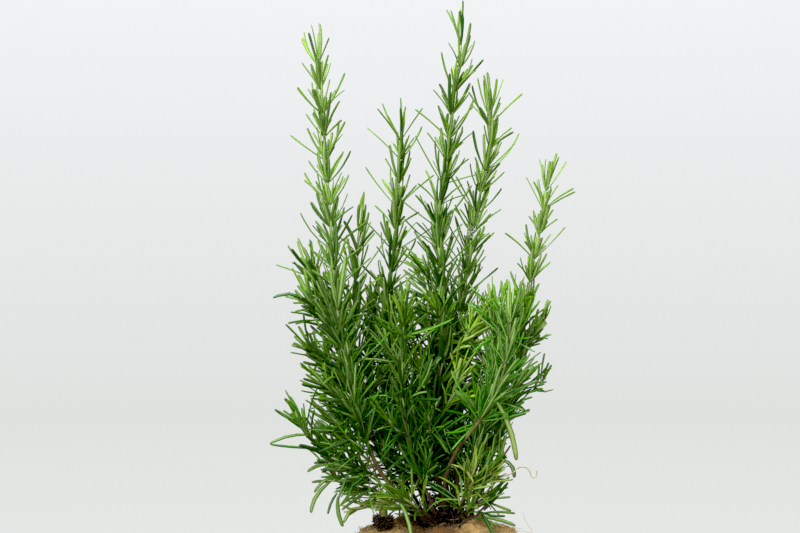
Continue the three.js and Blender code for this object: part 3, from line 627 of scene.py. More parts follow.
def mesh_of_leaves(leaves):
    """Points, faces and marks of many leaves at once."""
    def gather(key):
        values = np.array([leaf[key] for leaf in leaves], float)
        return values if values.ndim == 2 else values[:, None]

    foot, direction, facing, length, curved, twist, width = (
        gather(key) for key in ("foot", "direction", "facing", "length", "curl", "twist", "width"))
    to_right = np.cross(facing, direction)
    count, stations, around = len(leaves), len(LEAF_SHARES), len(LEAF_SECTION)
    points = np.zeros((count, stations, around, 3))
    for station, (share, half) in enumerate(zip(LEAF_SHARES, LEAF_WIDTHS)):
        centre = foot + length * (share * direction + share ** 2 * curved)
        ahead = unit(direction + 2 * share * curved)
        above = unit(np.cross(ahead, to_right))
        aside = np.cross(above, ahead)
        turn = twist * (share - UNTWISTED_AT)
        across = np.cos(turn) * aside + np.sin(turn) * above
        upward = np.cos(turn) * above - np.sin(turn) * aside
        for corner, (x, y) in enumerate(LEAF_SECTION):
            thick = y * (0.5 + 0.5 * half)
            points[:, station, corner] = centre + width / 2 * (x * half * across + thick * upward)
    start = np.arange(count)[:, None, None] * stations * around
    corners = np.arange(around)
    row = start + np.arange(stations - 1)[None, :, None] * around
    here, after = row + corners, row + (corners + 1) % around
    quads = np.stack([here, after, after + around, here + around], axis=-1).reshape(-1, 4).tolist()
    tips = (start[:, 0] + (stations - 1) * around + corners).tolist()
    feet = (start[:, 0] + corners[::-1]).tolist()
    marks = np.zeros((count, stations, around, 3))
    marks[..., 0], marks[..., 1], marks[..., 2] = UNDERSIDE, RIB, LEAF_SHARES[None, :, None]
    look = np.concatenate([gather("age"), gather("tint"), gather("yellow")], axis=1)
    looks = np.broadcast_to(look[:, None, None, :], marks.shape)
    return points.reshape(-1, 3), quads + tips + feet, marks.reshape(-1, 3), looks.reshape(-1, 3)


# %% [markdown]
# The rule for one shoot walks up from whorl to whorl. Long leaves open wide low down and stand closer to
# the stem near the tip. The solids have the same rule with fewer leaves, and the shorter leaves of the fans
# fill the gaps between them. Round the low bush runs an uneven edge that the leaves keep to.

# %% Where leaves may reach
BOX_ALLOWANCE = 0.02
# The edge of the low bush seen from the front: pairs of a height and how far the leaves reach to that side.
LEFT_EDGE = ((105, -64), (123, -69), (131, -74), (145, -81), (160, -91), (171, -98), (182, -104), (190, -111),
             (300, -111), (306, -126))
RIGHT_EDGE = ((105, 52), (188, 52), (192, 84), (215, 84), (260, 82), (300, 83), (306, 104))
EDGE_TOP = 300
EDGE_BAND = 9
EDGE_UNEVEN = 3.5
EDGE_WAVE = 1.3
EDGE_LEAVES_LOST = 0.25
SHORTEST_SHARE = 0.74
SHORTENING = 0.94

box_low, box_high = (1000 * np.array(corner) for corner in cad_box)
spare = BOX_ALLOWANCE * (box_high - box_low)


def reaches_past(leaf, inset=0):
    """Whether a leaf leaves the box of the solids, or the edge where it isn't one that stands out."""
    for spot in (path_of_leaf(leaf, share) for share in (0.6, 1.0)):
        if np.any(spot < box_low - spare) or np.any(spot > box_high + spare):
            return True
        left, right = (np.interp(spot[2], *zip(*edge)) for edge in (LEFT_EDGE, RIGHT_EDGE))
        uneven = EDGE_UNEVEN * math.sin(EDGE_WAVE * spot[2] + spot[1])
        if not leaf.get("stands_out") and not left + inset < spot[0] + uneven < right - inset:
            return True
    return False


def fits_outline(leaf):
    """Shortens a leaf until it fits. It is left out where too little would remain."""
    least = SHORTEST_SHARE * leaf["length"]
    while reaches_past(leaf) and leaf["length"] > least:
        leaf["length"] *= SHORTENING
    return leaf["length"] > least or leaf.get("stands_out", False)


def crowds_edge(leaf, order):
    """Some leaves at the bush's edge are left out, so that the others show one by one."""
    in_bush = path_of_leaf(leaf, 1.0)[2] < EDGE_TOP
    return in_bush and reaches_past(leaf, EDGE_BAND) and chance(order, 59, 3, 1) < EDGE_LEAVES_LOST


# %% Placing the leaves of a shoot
LEAF_WIDTH = 2.2
LEAF_TWIST = 2.2
BROAD_LEAF = 1.35
NOT_BROAD = 0.92
LEAST_OPENING = 11
LONG_SHARE = (1.08, 1.1)
LOOSE_SHARE = 1.25
LENGTHS = (0.78, 1.22)
LOST_LEAVES = (0.0, 0.3)
DROOP = 0.35
SAG = 0.12
SWING = 16
BARE_TIP = 3
WHORL_TURN = 34
FOOT_DEPTH = 0.6
TIP_LEAF_SHARE = 1.15
TIP_FAN_LEAVES = 7
LOOSE_TIP_LEAVES = 3
# What makes a leaf young: its height, its place on the shoot, how upright it stands, and chance.
AGE_START, AGE_BY_HEIGHT, AGE_BY_GROWTH, AGE_BY_STAND, AGE_BY_CHANCE = -0.15, 0.9, 0.35, 0.3, 0.3
YOUNG_HEIGHT = 380
LOW_SHADE = 0.1
SHADE_TOP = 0.45
# Share of the shoot's opening, share of the long leaf, swing in degrees, way up the shoot in mm, slimness.
PAIRED_FAN = [(1.0, 1.0, 4, 0.6, 1.0), (0.78, 0.84, -24, 1.2, 0.95), (0.6, 0.78, 26, 1.8, 0.95),
              (0.44, 0.64, -10, 2.4, 0.9), (0.3, 0.54, 16, 3.0, 0.9), (0.52, 0.5, -34, 1.0, 0.85)]
AXIL_FAN = [(0.9, 0.8, -16, 0.9, 0.95), (0.68, 0.76, 22, 1.5, 0.9), (0.42, 0.6, -4, 2.4, 0.9),
            (0.56, 0.46, 36, 1.0, 0.85)]


def clamp(value):
    return min(1, max(0, value))


def whorls_of(number, shoot):
    """Share of the shoot's length, share of its leafy part, and turn in degrees of each whorl."""
    curve, start = shoot["curve"], shoot["start"]
    travelled, whorls = start * curve.length, []
    while travelled < curve.length - BARE_TIP:
        share = travelled / curve.length
        grown = (share - start) / (1 - start)
        whorls.append((share, grown, WHORL_TURN * (chance(number, len(whorls), 0, 1) - 0.5)))
        travelled += mix(*shoot["gap"], grown)
    return whorls


def leaf_at(shoot, along, foot, around, opening, length, bend, sag, grown, draw, slim):
    direction, facing, _ = lie_of_leaf(along, math.radians(around), math.radians(opening))
    height = (foot[2] - SOIL_TOP) / YOUNG_HEIGHT
    age = (AGE_START + AGE_BY_HEIGHT * height + AGE_BY_GROWTH * grown + AGE_BY_STAND * (1 - opening / 60)
           + AGE_BY_CHANCE * (draw(11) - 0.5) + shoot.get("young", 0))
    shade = LOW_SHADE * (1 - clamp(height / SHADE_TOP))
    sway = (0.7 if shoot.get("loose") else 0.3) * (draw(15) - 0.5)
    broad = BROAD_LEAF if draw(17) > NOT_BROAD else 1
    # The tint is chance plus the shoot's tone, in part painted shade, less painted shade on low leaves.
    return dict(foot=foot, direction=direction, facing=facing, length=length,
                curl=curl(direction, facing, bend, sway, sag), twist=LEAF_TWIST * (draw(8) - 0.5),
                width=LEAF_WIDTH * slim * shoot.get("slim", 1) * mix(0.8, 1.2, draw(7)) * broad,
                age=clamp(age), tint=clamp(draw(9) + shoot.get("tone_and_shade", 0) - shade),
                yellow=shoot.get("yellow", 0.0) * mix(0.4, 1.3, draw(10)))


def fan_of(shoot, number, index, side, grown):
    """How each leaf on one side of a whorl lies, with its swing to the side and its way up the shoot."""
    paired = (side + index) % 2 == 0
    loose = shoot.get("loose", False)
    spread = mix(*shoot["open"], grown)
    long_leaf = mix(*shoot["leaf"], grown) * (LOOSE_SHARE if loose else mix(*LONG_SHARE, grown))
    lost = shoot.get("lost", mix(*LOST_LEAVES, grown ** 2.5))
    fan = PAIRED_FAN if paired else AXIL_FAN
    for order, (opening, share, swing, lift, slim) in enumerate(fan[:len(fan) // 2] if loose else fan):
        leaf_number = 2 * side + order + (not paired) + (20 + 10 * order) * (order > paired)
        draw = partial(chance, number, index, leaf_number)
        is_long = paired and order == 0
        if draw(18) < lost and not is_long:
            continue
        wide = opening * (spread + 20 * (draw(3) - 0.5)) + 6 * (draw(12) - 0.5)
        length = share * (1 if paired else mix(1.12, 0.8, grown)) * long_leaf * mix(*LENGTHS, draw(2))
        droop = DROOP * (is_long and draw(16) > (0.6 if loose else 0.85))
        bend = (0.85 if loose else 0.6) * (draw(4) - (0.28 if is_long else 0.42))
        lie = dict(opening=max(wide, LEAST_OPENING), length=length, bend=bend,
                   sag=(SAG * draw(5) + droop) * (1 - grown), draw=draw, slim=slim)
        yield lie, swing + SWING * (draw(6) - 0.5), lift


def leaves_of(number, shoot):
    curve, leaves = shoot["curve"], []
    for index, (share, grown, turn) in enumerate(whorls_of(number, shoot)):
        along, centre = curve.heading(share), curve.point(share)
        radius = mix(*shoot["radius"], share)
        for side in range(4):
            around = turn + 90 * side
            outward = lie_of_leaf(along, math.radians(around), 0)[2]
            for lie, swing, lift in fan_of(shoot, number, index, side, grown):
                foot = centre + outward * radius * FOOT_DEPTH + along * lift
                leaves.append(leaf_at(shoot, along, foot, around + swing, grown=grown, **lie))
    for order in range(1 + (LOOSE_TIP_LEAVES if shoot.get("loose") else TIP_FAN_LEAVES)):
        draw = partial(chance, number, 99, order)
        if order == 0:
            foot, opening, length, bend = curve.point(1), 6, TIP_LEAF_SHARE, 0.05
        else:
            foot, opening = curve.point(1 - 1.5 / curve.length), mix(10, 36, draw(2))
            length, bend = mix(0.78, 1.18, draw(3)), 0.5 * (draw(4) - 0.4)
        around = 360 * (draw(1) + order) / TIP_FAN_LEAVES
        leaves.append(leaf_at(shoot, curve.heading(1), foot, around, opening, length * shoot["leaf"][1], bend,
                              sag=0, grown=1, draw=draw, slim=0.92))
    rules = (misses_sack, misses_tuft, leaves_sack_in_sight)
    return [leaf for leaf in leaves
            if all(rule(path_of_leaf(leaf, stop)) for stop in (0.3, 0.6, 1.0) for rule in rules)]


# %% [markdown]
# Short twigs fill the lower bush. They sit on the stems a golden turn apart, reach a little way out and up,
# and carry small leaves close together. A twig that would run into the cloth or the dead leaves at the foot
# of the stems is left out. Young lime-green twigs have routes of their own.

# %% Short twigs low on the stems
TWIG_SPACING = 20.0
TWIG_HEIGHTS = (34.0, 165.0)
TWIG_LEAF = (26, 21)
TWIG_REACH = (13, 28)
TWIG = dict(start=0.22, radius=(0.75, 0.5), gap=(9, 7), open=(66, 32), lost=0.38, is_side=True, loose=True)
YOUNG_TWIG = dict(start=0.25, radius=(0.9, 0.6), leaf=(26, 24), gap=(11, 9), open=(34, 12), lost=0.66,
                  young=1.0, tone_and_shade=0.7, slim=1.15, is_side=True, loose=True)
ALL_ROUND = (0, 2 * math.pi)
GOLDEN_SHARE = (3 - 5 ** 0.5) / 2
GOLDEN_TURN = 2 * math.pi * GOLDEN_SHARE
CROWN_RADIUS = 34.0
CROWN_HEIGHT = 42.0


def twigs_of(number, shoot):
    """Pairs of a number for the draws and a twig."""
    curve, twigs = shoot["curve"], []
    heights = shoot.get("twig_heights", TWIG_HEIGHTS)
    low, high = (curve.share_at_height(SOIL_TOP + height) for height in heights)
    spacing = shoot.get("twig_spacing", TWIG_SPACING)
    count = 0 if shoot.get("twigless") else int((high - low) * curve.length / spacing)
    for order in range(count):
        draw = partial(chance, number, order, 50)
        share = mix(low, high, (order + 0.5 * draw(1)) / count)
        along, start = curve.heading(share), curve.point(share)
        turned = (GOLDEN_SHARE * order + chance(number, 0, 51, 1)) % 1
        around = mix(*shoot.get("twig_turns", ALL_ROUND), turned)
        direction, facing, _ = lie_of_leaf(along, around, math.radians(mix(48, 70, draw(2))))
        reach = mix(*TWIG_REACH, draw(3))
        middle = start + reach * 0.5 * direction
        end = start + reach * (direction + 0.18 * facing + np.array((0, 0, 0.16)))
        crowded = end[2] < SOIL_TOP + CROWN_HEIGHT and math.hypot(end[0], end[1]) < CROWN_RADIUS
        if misses_sack(middle) and misses_sack(end - (0, 0, 3)) and not crowded:
            twig = dict(shoot, **TWIG, curve=Curve([start, middle, end]))
            twigs.append((100 + 40 * number + order, twig | {"leaf": shoot.get("twig_leaf", TWIG_LEAF)}))
    for order, route in enumerate(shoot.get("young_twigs", [])):
        twigs.append((3000 + order, dict(YOUNG_TWIG, curve=Curve(route))))
    return twigs


# %% [markdown]
# The wood of a shoot is a tube with ten sides, or six on a twig. It swells a little at each whorl, where the
# leaves leave a scar, and it gets thinner towards the tip.

# %% A tube along a path, which stems, threads, fibres and dry needles all use
def ring_faces(rings, around):
    """Faces of a closed skin over rings of points, with a cap at each end."""
    faces = [[ring * around + side, ring * around + (side + 1) % around,
              (ring + 1) * around + (side + 1) % around, (ring + 1) * around + side]
             for ring in range(rings - 1) for side in range(around)]
    return faces + [list(range(around))[::-1], [(rings - 1) * around + side for side in range(around)]]


def tube(path, radii, sides):
    path = np.asarray(path, float)
    along = unit(np.gradient(path, axis=0))
    right = np.cross((0, 1, 0) if abs(along[0][1]) < 0.9 else (1, 0, 0), along[0])
    angles = 2 * math.pi * np.arange(sides) / sides
    points = []
    for centre, heading, radius in zip(path, along, radii):
        right = unit(right - heading * right.dot(heading))
        back = np.cross(heading, right)
        points.append(centre + radius * (np.cos(angles)[:, None] * right + np.sin(angles)[:, None] * back))
    return np.concatenate(points), ring_faces(len(path), sides)


def join_parts(parts):
    """One mesh from several: points, faces, then any marks."""
    points, faces, marks, offset = [], [], [], 0
    for part_points, part_faces, *part_marks in parts:
        points.append(part_points)
        faces += [[corner + offset for corner in face] for face in part_faces]
        marks.append(part_marks)
        offset += len(part_points)
    return [np.concatenate(points), faces, *(np.concatenate(column) for column in zip(*marks))]


def strew(count, seed, make_part):
    """One mesh of many small parts. Each is made from its order and its own draws, and may be left out."""
    parts = (make_part(order, partial(chance, order, *seed)) for order in range(count))
    return join_parts([part for part in parts if part])


# %% The wood of a shoot
STEM_SIDES = 10
TWIG_SIDES = 6
WOOD_STEP = 3.5
WOOD_SHARE = 0.78
KNOT_SHARE = 0.2
KNOT_LENGTH = 1.6
SOFT_HEIGHT = 340


def wood_of(number, shoot):
    curve = shoot["curve"]
    knots = np.array([whorl[0] for whorl in whorls_of(number, shoot)])
    shares = np.linspace(0, 1, max(6, int(curve.length / WOOD_STEP)) + 1)
    away = (shares[:, None] - knots[None, :]) * curve.length
    swelling = np.exp(-(away / KNOT_LENGTH) ** 2).max(axis=1, initial=0)
    radii = mix(*shoot["radius"], shares) * (WOOD_SHARE + KNOT_SHARE * swelling)
    path = np.array([curve.point(share) for share in shares])
    sides = STEM_SIDES if shoot["radius"][0] > 1 else TWIG_SIDES
    height = np.clip((path[:, 2] - SOIL_TOP) / SOFT_HEIGHT, 0, 1)
    grown = np.maximum(height, 0.3 + 0.5 * shares) if shoot["is_side"] else height
    return *tube(path, radii, sides), np.repeat(np.stack([grown, swelling, shares], axis=1), sides, axis=0)


# %% [markdown]
# A few leaves catch the eye because they are long, bent, pale or hang down. These are set one by one, each
# from its foot on a stem to its tip, with an arch in between.

# %% Leaves that stand out
def leaf_between(foot, tip, arch, width, age, tint, yellow, shows_underside=False):
    """A leaf from foot to tip that bulges by arch halfway. Its upper face looks to the front or the back."""
    foot, tip, arch = (np.array(part, float) for part in (foot, tip, arch))
    leaving = tip - foot + 4 * arch
    length = np.linalg.norm(leaving)
    direction = leaving / length
    facing = np.array((0.1, 1.0, -0.25) if shows_underside else (0.1, -1.0, 0.35))
    facing = unit(facing - facing.dot(direction) * direction)
    return dict(foot=foot, direction=direction, facing=facing, length=length, curl=-4 * arch / length,
                width=width, twist=0.5, age=age, tint=tint, yellow=yellow, stands_out=True)


# Foot, tip, arch, width, age, tint, yellowing, and True where the underside shows.
STAND_OUT = {
    "left_tall_stem": [
        ((-92, -32, 274), (-121, -36, 280.5), (0, 0, 6), 2.6, 0.1, 0.0, 0),
        ((-95, -41, 181), (-122.5, -46, 175.5), (0, 0, 2.4), 2.2, 0.2, 0.4, 0.2),
        ((-88, -40, 171.5), (-122.5, -47, 175), (0, 0, -0.7), 1.9, 0.1, 0.2, 0),
        ((-98, -42, 186), (-119, -46, 200), (2, 0, -1), 2.6, 0.1, 0.1, 0),
        ((-97, -42, 184), (-112, -46, 208), (2, 0, 1), 2.8, 0.1, 0.2, 0),
    ],
    "low_left_stem": [
        ((-81, -12, 143), (-94, -20, 121.5), (-3, 0, 1), 3.1, 0.2, 0.4, 0.3, True),
        ((-74, -19, 133.5), (-70.5, -24, 112), (-2, 0, 0), 3.0, 0.2, 0.3, 0.3),
        ((-58, -19, 125), (-70, -25, 115), (-1, 0, 3), 2.8, 0.2, 0.4, 0.5),
        ((-75, -12, 135), (-82, -16, 120), (-1, 0, 1), 1.9, 0.1, 0.0, 0),
        ((-80, -12, 143), (-94, -14, 143.4), (0, 0, 1), 2.2, 0.1, 0.2, 0.2),
        ((-82, -12, 156), (-97, -14, 151), (0, 0, 2), 2.7, 0.2, 0.4, 0.2, True),
        ((-76, -12, 147), (-92, -15, 136), (-1, 0, 3), 2.7, 0.2, 0.4, 0.4),
        ((-46, -17, 125), (-30, -22, 125.5), (0, 0, 1), 2.4, 0.6, 1.0, 0.4, True),
    ],
    "front_left_stem": [((-29, -51, 134), (-20, -64, 104), (2, 0, 2), 3.2, 0.1, 0.3, 0.3)],
    "right_front_stem": [((42.5, -36, 204), (56, -44, 163), (2.4, 0, 1.6), 3.9, 0.1, 0.45, 0.45, True)],
    "low_right_stem": [((46, -18, 161), (55.5, -24, 148), (3, 0, 2), 3.0, 0.1, 0.1, 0)],
    "right_sprig": [
        ((30, -24, 124), (41, -52, 103.5), (1, 0, 1), 2.8, 0.0, 0.0, 0),
        ((31, -26, 124), (46.5, -36, 146.3), (0.3, 0, -0.3), 2.3, 0.0, 0.0, 0),
        ((33, -25, 124), (50.4, -34, 145.7), (0.4, 0, -0.5), 2.3, 0.0, 0.1, 0),
        ((31, -24, 119), (55.5, -36, 114.4), (0, 0, 1.4), 2.6, 0.1, 0.3, 0.3),
        ((33, -24, 122), (55.5, -34, 123), (0, 0, 1), 1.9, 0.1, 0.2, 0.2),
        ((34, -24, 121), (48.4, -32, 120.8), (0, 0, -0.5), 1.8, 0.0, 0.0, 0),
        ((26, -22, 118), (43, -34, 113.8), (0, 0, 1), 2.2, 0.0, 0.2, 0.4),
    ],
    "yellow_low_stem": [((9, -28, 158), (25.3, -34, 144.8), (2, 0, 3), 1.9, 0.9, 0.5, 0.85)],
}
print("leaves set one by one:", sum(len(rows) for rows in STAND_OUT.values()))

# %% Growing every shoot
leaf_total = 0
for stem in SHOOTS:
    own = [(number, shoot) for number, shoot in enumerate(shoots) if shoot["node"] == stem["name"]]
    own += twigs_of(*own[0])
    leaves = [leaf for number, shoot in own for leaf in leaves_of(number, shoot)]
    leaves += [leaf_between(*row) for row in STAND_OUT.get(stem["name"], [])]
    leaves = [leaf for order, leaf in enumerate(leaves)
              if fits_outline(leaf) and not crowds_edge(leaf, order)]
    points, faces, places, looks = mesh_of_leaves(leaves)
    foliage = make_piece(stem["name"] + "_leaves", points, faces, leaf_finish, "leaf", [stem["name"]])
    mark_points(foliage, "leaf_place", places)
    mark_points(foliage, "leaf_look", looks)
    points, faces, marks = join_parts([wood_of(number, shoot) for number, shoot in own])
    wood = make_piece(stem["name"] + "_wood", points, faces, bark_finish, "leaf", [stem["name"]])
    mark_points(wood, "stem_place", marks)
    leaf_total += len(leaves)
print("leaves:", leaf_total)

# %% [markdown]
# ## The jute sack
#
# The cloth is a tube that is closed at the base, stands round the pot, and is drawn in over the rim. Loose
# soft folds run up its side and in towards the neck. The same waves that shaped the solid shape it here, only
# much finer, with small creases on top. A real sheet is thin, so the skin is an outer and an inner face,
# joined along the raw edge at the lip.

# %% The path of the cloth from the base to the lip
SACK_AROUND = 300
SACK_ALONG = 76
BASE_RADIUS = 41.0
CLOTH_INSIDE = POT_RADIUS + 0.35
EDGE_TURNED_IN = 2.8
SEAM_ANGLE = 1.35
SEAM_RAISED = 1.3
SEAM_WIDTH = 0.035


def sack_stations(angle):
    """Radius, height and depth of the folds of the inside face, from the middle of the base to the lip."""
    lip, shoulder = lip_height(angle), RIM_TOP + 0.35
    rows = [
        (0.35 * BASE_RADIUS, CLOTH, 0),
        (BASE_RADIUS - 2.4, CLOTH, 0),
        (BASE_RADIUS + 1.6, CLOTH + 2.6, 0.8),
        (mix(BASE_RADIUS, CLOTH_INSIDE, 0.3) + 0.8, 32, 4.0),
        (mix(BASE_RADIUS, CLOTH_INSIDE, 0.68) + 0.8, 68, 6.5),
        (CLOTH_INSIDE + 0.3, RIM_TOP - 8, 5.0),
        (CLOTH_INSIDE + 0.1, RIM_TOP - 0.8, 2.4),
        (CLOTH_INSIDE - 3, mix(shoulder, lip, 0.06) + 0.2, 0.5),
        (mix(CLOTH_INSIDE, NECK_RADIUS, 0.55), mix(shoulder, lip, 0.3), 1.1),
        (NECK_RADIUS, lip, NECK_FOLD),
        (NECK_RADIUS - EDGE_TURNED_IN, lip - 2.2 * EDGE_TURNED_IN, 0.7 * NECK_FOLD),
    ]
    return np.array([[part + 0 * angle for part in row] for row in rows])


SHOULDER_STATION, LIP_STATION, LAST_STATION = 6, 9, 10
LIP_ROW = round((SACK_ALONG - 1) * LIP_STATION / LAST_STATION)


def along_stations(values, place):
    """A smooth curve through the stations' values, at a place counted in stations."""
    last = len(values) - 1
    low = min(int(place), last - 1)
    start, end = values[low], values[low + 1]
    before, after = values[max(low - 1, 0)], values[min(low + 2, last)]
    return hermite(start, end, (end - before) / 2, (after - start) / 2, place - low)


def creases(angle, place):
    """Small creases in the cloth, a few across each fold, deeper towards the lip."""
    wave = (np.sin(23 * angle + 1.7 * place) * 0.5 + np.sin(37 * angle - 2.3 * place + 1) * 0.3
            + np.sin(13 * angle + 5.1 * place + 2) * 0.4)
    return wave * np.clip((place - 1.5) / 9, 0, 0.75) * (1 - 0.5 * max(0, place - LIP_STATION))


def sack_skin():
    """The outer face, all rows of the skin from outer to inner base, and the way travelled up the cloth."""
    angle = 2 * np.pi * np.arange(SACK_AROUND) / SACK_AROUND
    stations = sack_stations(angle)
    places = np.linspace(0, LAST_STATION, SACK_ALONG)
    inner = np.zeros((SACK_ALONG, SACK_AROUND, 3))
    for row, place in enumerate(places):
        radius, height, fold = along_stations(stations, place)
        over_top = np.clip(place - SHOULDER_STATION + 0.5, 0, 1)
        over_rim = np.clip((place - SHOULDER_STATION + 2) / 2, 0, 1) * np.clip(LIP_STATION - place, 0, 1)
        tight = mix(1, slack(angle), over_rim)
        swell = fold * tight * mix(fold_wave(angle), neck_wave(angle), over_top)
        seam = SEAM_RAISED * hill(angle, SEAM_ANGLE, SEAM_WIDTH) * np.clip(place - 1, 0, 1)
        raised = swell + creases(angle, place) * tight + seam
        ragged = 0.7 * np.sin(41 * angle) * np.sin(17 * angle + 2) * (place > places[-2])
        radius = radius + raised * (1 - over_top)
        height = np.maximum(height + (raised + ragged) * over_top, CLOTH)
        inner[row] = np.stack([radius * np.cos(angle), radius * np.sin(angle), height], axis=1)
    round_cloth = np.roll(inner, -1, axis=1) - np.roll(inner, 1, axis=1)
    outer = inner + CLOTH * unit(np.cross(round_cloth, np.gradient(inner, axis=0)))
    steps = np.linalg.norm(np.diff(inner, axis=0), axis=2).mean(axis=1)
    return outer, np.concatenate([outer, inner[::-1]]), np.concatenate([[0], np.cumsum(steps)])


def area_of(rows):
    """The area of one face of the cloth in square metres."""
    edge_up = np.diff(rows, axis=0)
    edge_round = np.roll(rows, -1, axis=1) - rows
    return np.linalg.norm(np.cross(edge_up, edge_round[:-1]), axis=2).sum() * MM ** 2


# %% [markdown]
# ## Woven cloth
#
# Jute is woven from thick, uneven threads that pass over and under each other. The pattern comes from a
# formula: the fraction of a thread's width that a point lies off the thread's middle gives its round
# section, and whether the row and the column add up to an even number says which thread is on top.

# %% The weave as a node group, and the jute material
weave, take, give = new_group(
    "plain_weave", [("Across", "Float", 100.0), ("Along", "Float", 100.0)], ("Height", "Float"))
compute = partial(calculate, weave)


def thread_profile(value):
    off = compute("SUBTRACT", compute("FRACT", value), 0.5)
    return compute("SUBTRACT", 1.0, compute("MULTIPLY", compute("MULTIPLY", off, off), 4.0))


cloth_place = place(weave, "ShaderNodeUVMap", {})["UV"]
wander = place(weave, "ShaderNodeTexNoise", {"Vector": cloth_place, "Scale": 26.0, "Detail": 2.0})["Color"]
wander = place(weave, "ShaderNodeVectorMath", {0: wander, 1: (0.012, 0.012, 0)}, operation="MULTIPLY")[0]
moved = place(weave, "ShaderNodeVectorMath", {0: cloth_place, 1: wander}, operation="ADD")[0]
u, v = place(weave, "ShaderNodeSeparateXYZ", {"Vector": moved})[:2]
u, v = compute("MULTIPLY", u, take["Across"]), compute("MULTIPLY", v, take["Along"])
over = compute("PINGPONG", compute("ADD", compute("FLOOR", u), compute("FLOOR", v)), 1.0)
warp_height = compute("MULTIPLY", thread_profile(u), rescale(weave, over, 0, 1, 0.45, 1.0))
weft_height = compute("MULTIPLY", thread_profile(v), rescale(weave, over, 0, 1, 1.0, 0.45))
weave.links.new(compute("MAXIMUM", warp_height, weft_height), give)


def jute_material(name, light, dark):
    material, tree, shader = new_material(name)
    blend = partial(blend_colours, tree)
    threads = use_group(tree, weave, {"Across": 170.0, "Along": 62.0})
    mottle = clouded(tree, light, dark, 160.0, Sharpness=0.5)
    streaks = {"Light": (1, 1, 1, 1), "Dark": (0.42, 0.31, 0.18, 1), "Scale": 620.0, "Stretch": (1, 1, 0.35),
               "Sharpness": 0.3}
    colour = blend(0.65, mottle, use_group(tree, patches, streaks), "MULTIPLY")
    # Painted shade: the low gaps between the threads are darkened towards brown.
    shaded_gaps = rescale(tree, threads, 0.3, 0.8, 0.7, 0.0)
    colour = blend(shaded_gaps, colour, blend(0.55, colour, paint(84, 54, 26)))
    # Painted shade: the cloth is darkened where its marks say shade falls.
    colour = blend(read_marks(tree, "cloth_painted_shade")[0], colour, paint(144, 116, 62), "MULTIPLY")
    fuzz = place(tree, "ShaderNodeTexNoise", {"Scale": 1500.0, "Detail": 3.0})[0]
    height = calculate(tree, "ADD", threads, calculate(tree, "MULTIPLY", fuzz, 0.7))
    bump = place(tree, "ShaderNodeBump", {"Height": height, "Strength": 0.8, "Distance": 0.0011})["Normal"]
    fill_sockets(tree, shader, {"Base Color": colour, "Normal": bump, "Roughness": 0.95,
                                "Specular IOR Level": 0.2, "Sheen Weight": 0.08})
    return material


jute_finish = jute_material("jute_cloth", (255, 228, 156), (184, 136, 70))

# %% [markdown]
# Shade is painted on the cloth. It is darker on the outside under the bush near the foot of the stems, and
# all along the inside of the gathered top, and marks on the points say where. Weave coordinates run round and
# up.

# %% The sack's cloth
# Where the painted shade on the cloth lies and how strong it is.
SHADE_PLACE = (-4, -34)
SHADE_REACH = 16
SHADE_STRENGTH = 1.9
LEAST_SHADE = 0.15
SHADE_FROM_OUTSIDE = 6.8
SHADE_FROM_INSIDE = 7.0
WEAVE_LENGTH = 6 * POT_RADIUS


def sew_sack():
    outer, rows, travelled = sack_skin()
    sack = make_piece("jute_sack_cloth", rows.reshape(-1, 3), ring_faces(len(rows), SACK_AROUND), jute_finish,
                      "jute", ["jute_sack"])
    places = np.linspace(0, LAST_STATION, SACK_ALONG)[:, None]
    # Painted shade, strongest on the outside under the bush near the foot of the stems and on the inside of
    # the gathered top.
    off = np.hypot(outer[..., 0] - SHADE_PLACE[0], outer[..., 1] - SHADE_PLACE[1])
    shade_outside = (np.clip(SHADE_STRENGTH - off / SHADE_REACH, LEAST_SHADE, 1)
                   * np.clip(places - SHADE_FROM_OUTSIDE, 0, 1))
    shade_inside = np.repeat(np.clip(places[::-1] - SHADE_FROM_INSIDE, 0, 1), SACK_AROUND, axis=1)
    painted_shade = np.concatenate([shade_outside, shade_inside]).ravel()
    mark_points(sack, "cloth_painted_shade", np.stack([painted_shade, 0 * painted_shade, 0 * painted_shade], axis=1))
    mesh = sack.data
    up_rows = np.concatenate([travelled, travelled[::-1]]) / WEAVE_LENGTH
    corners = np.array([loop.vertex_index for loop in mesh.loops])
    across = (corners % SACK_AROUND) / SACK_AROUND
    counts = [len(face.vertices) for face in mesh.polygons]
    first = np.repeat(corners[[face.loop_start for face in mesh.polygons]], counts)
    wraps = ((first % SACK_AROUND) == SACK_AROUND - 1) & (across == 0)
    layer = mesh.uv_layers.new(name="cloth_place")
    layer.data.foreach_set("uv", np.stack([across + wraps, up_rows[corners // SACK_AROUND]], axis=1).ravel())
    area = area_of(outer)
    return outer


sack_outer = sew_sack()

# %% [markdown]
# Loose fibres make jute look soft. Each is a hair-thin tube with three sides that leaves the cloth at a low
# angle and curls. They stand thickest along the raw edge.

# %% Fibres that stand off the cloth
FIBRES = 2600
FIBRE_LENGTHS = (2.0, 5.5)
FIBRE_RADII = (0.09, 0.15)
FIRST_STITCH_ROW = 18
STITCH_RADIUS = 0.5
STITCH_ARCH = 0.7


def fibre(start, outward, sideways, length, radius, bow):
    stops = np.linspace(0, 1, 4)[:, None]
    path = start + length * (stops * unit(0.5 * outward + sideways) + bow * stops ** 2 * outward)
    return tube(path, [radius, radius, radius * 0.8, radius * 0.4], 3)


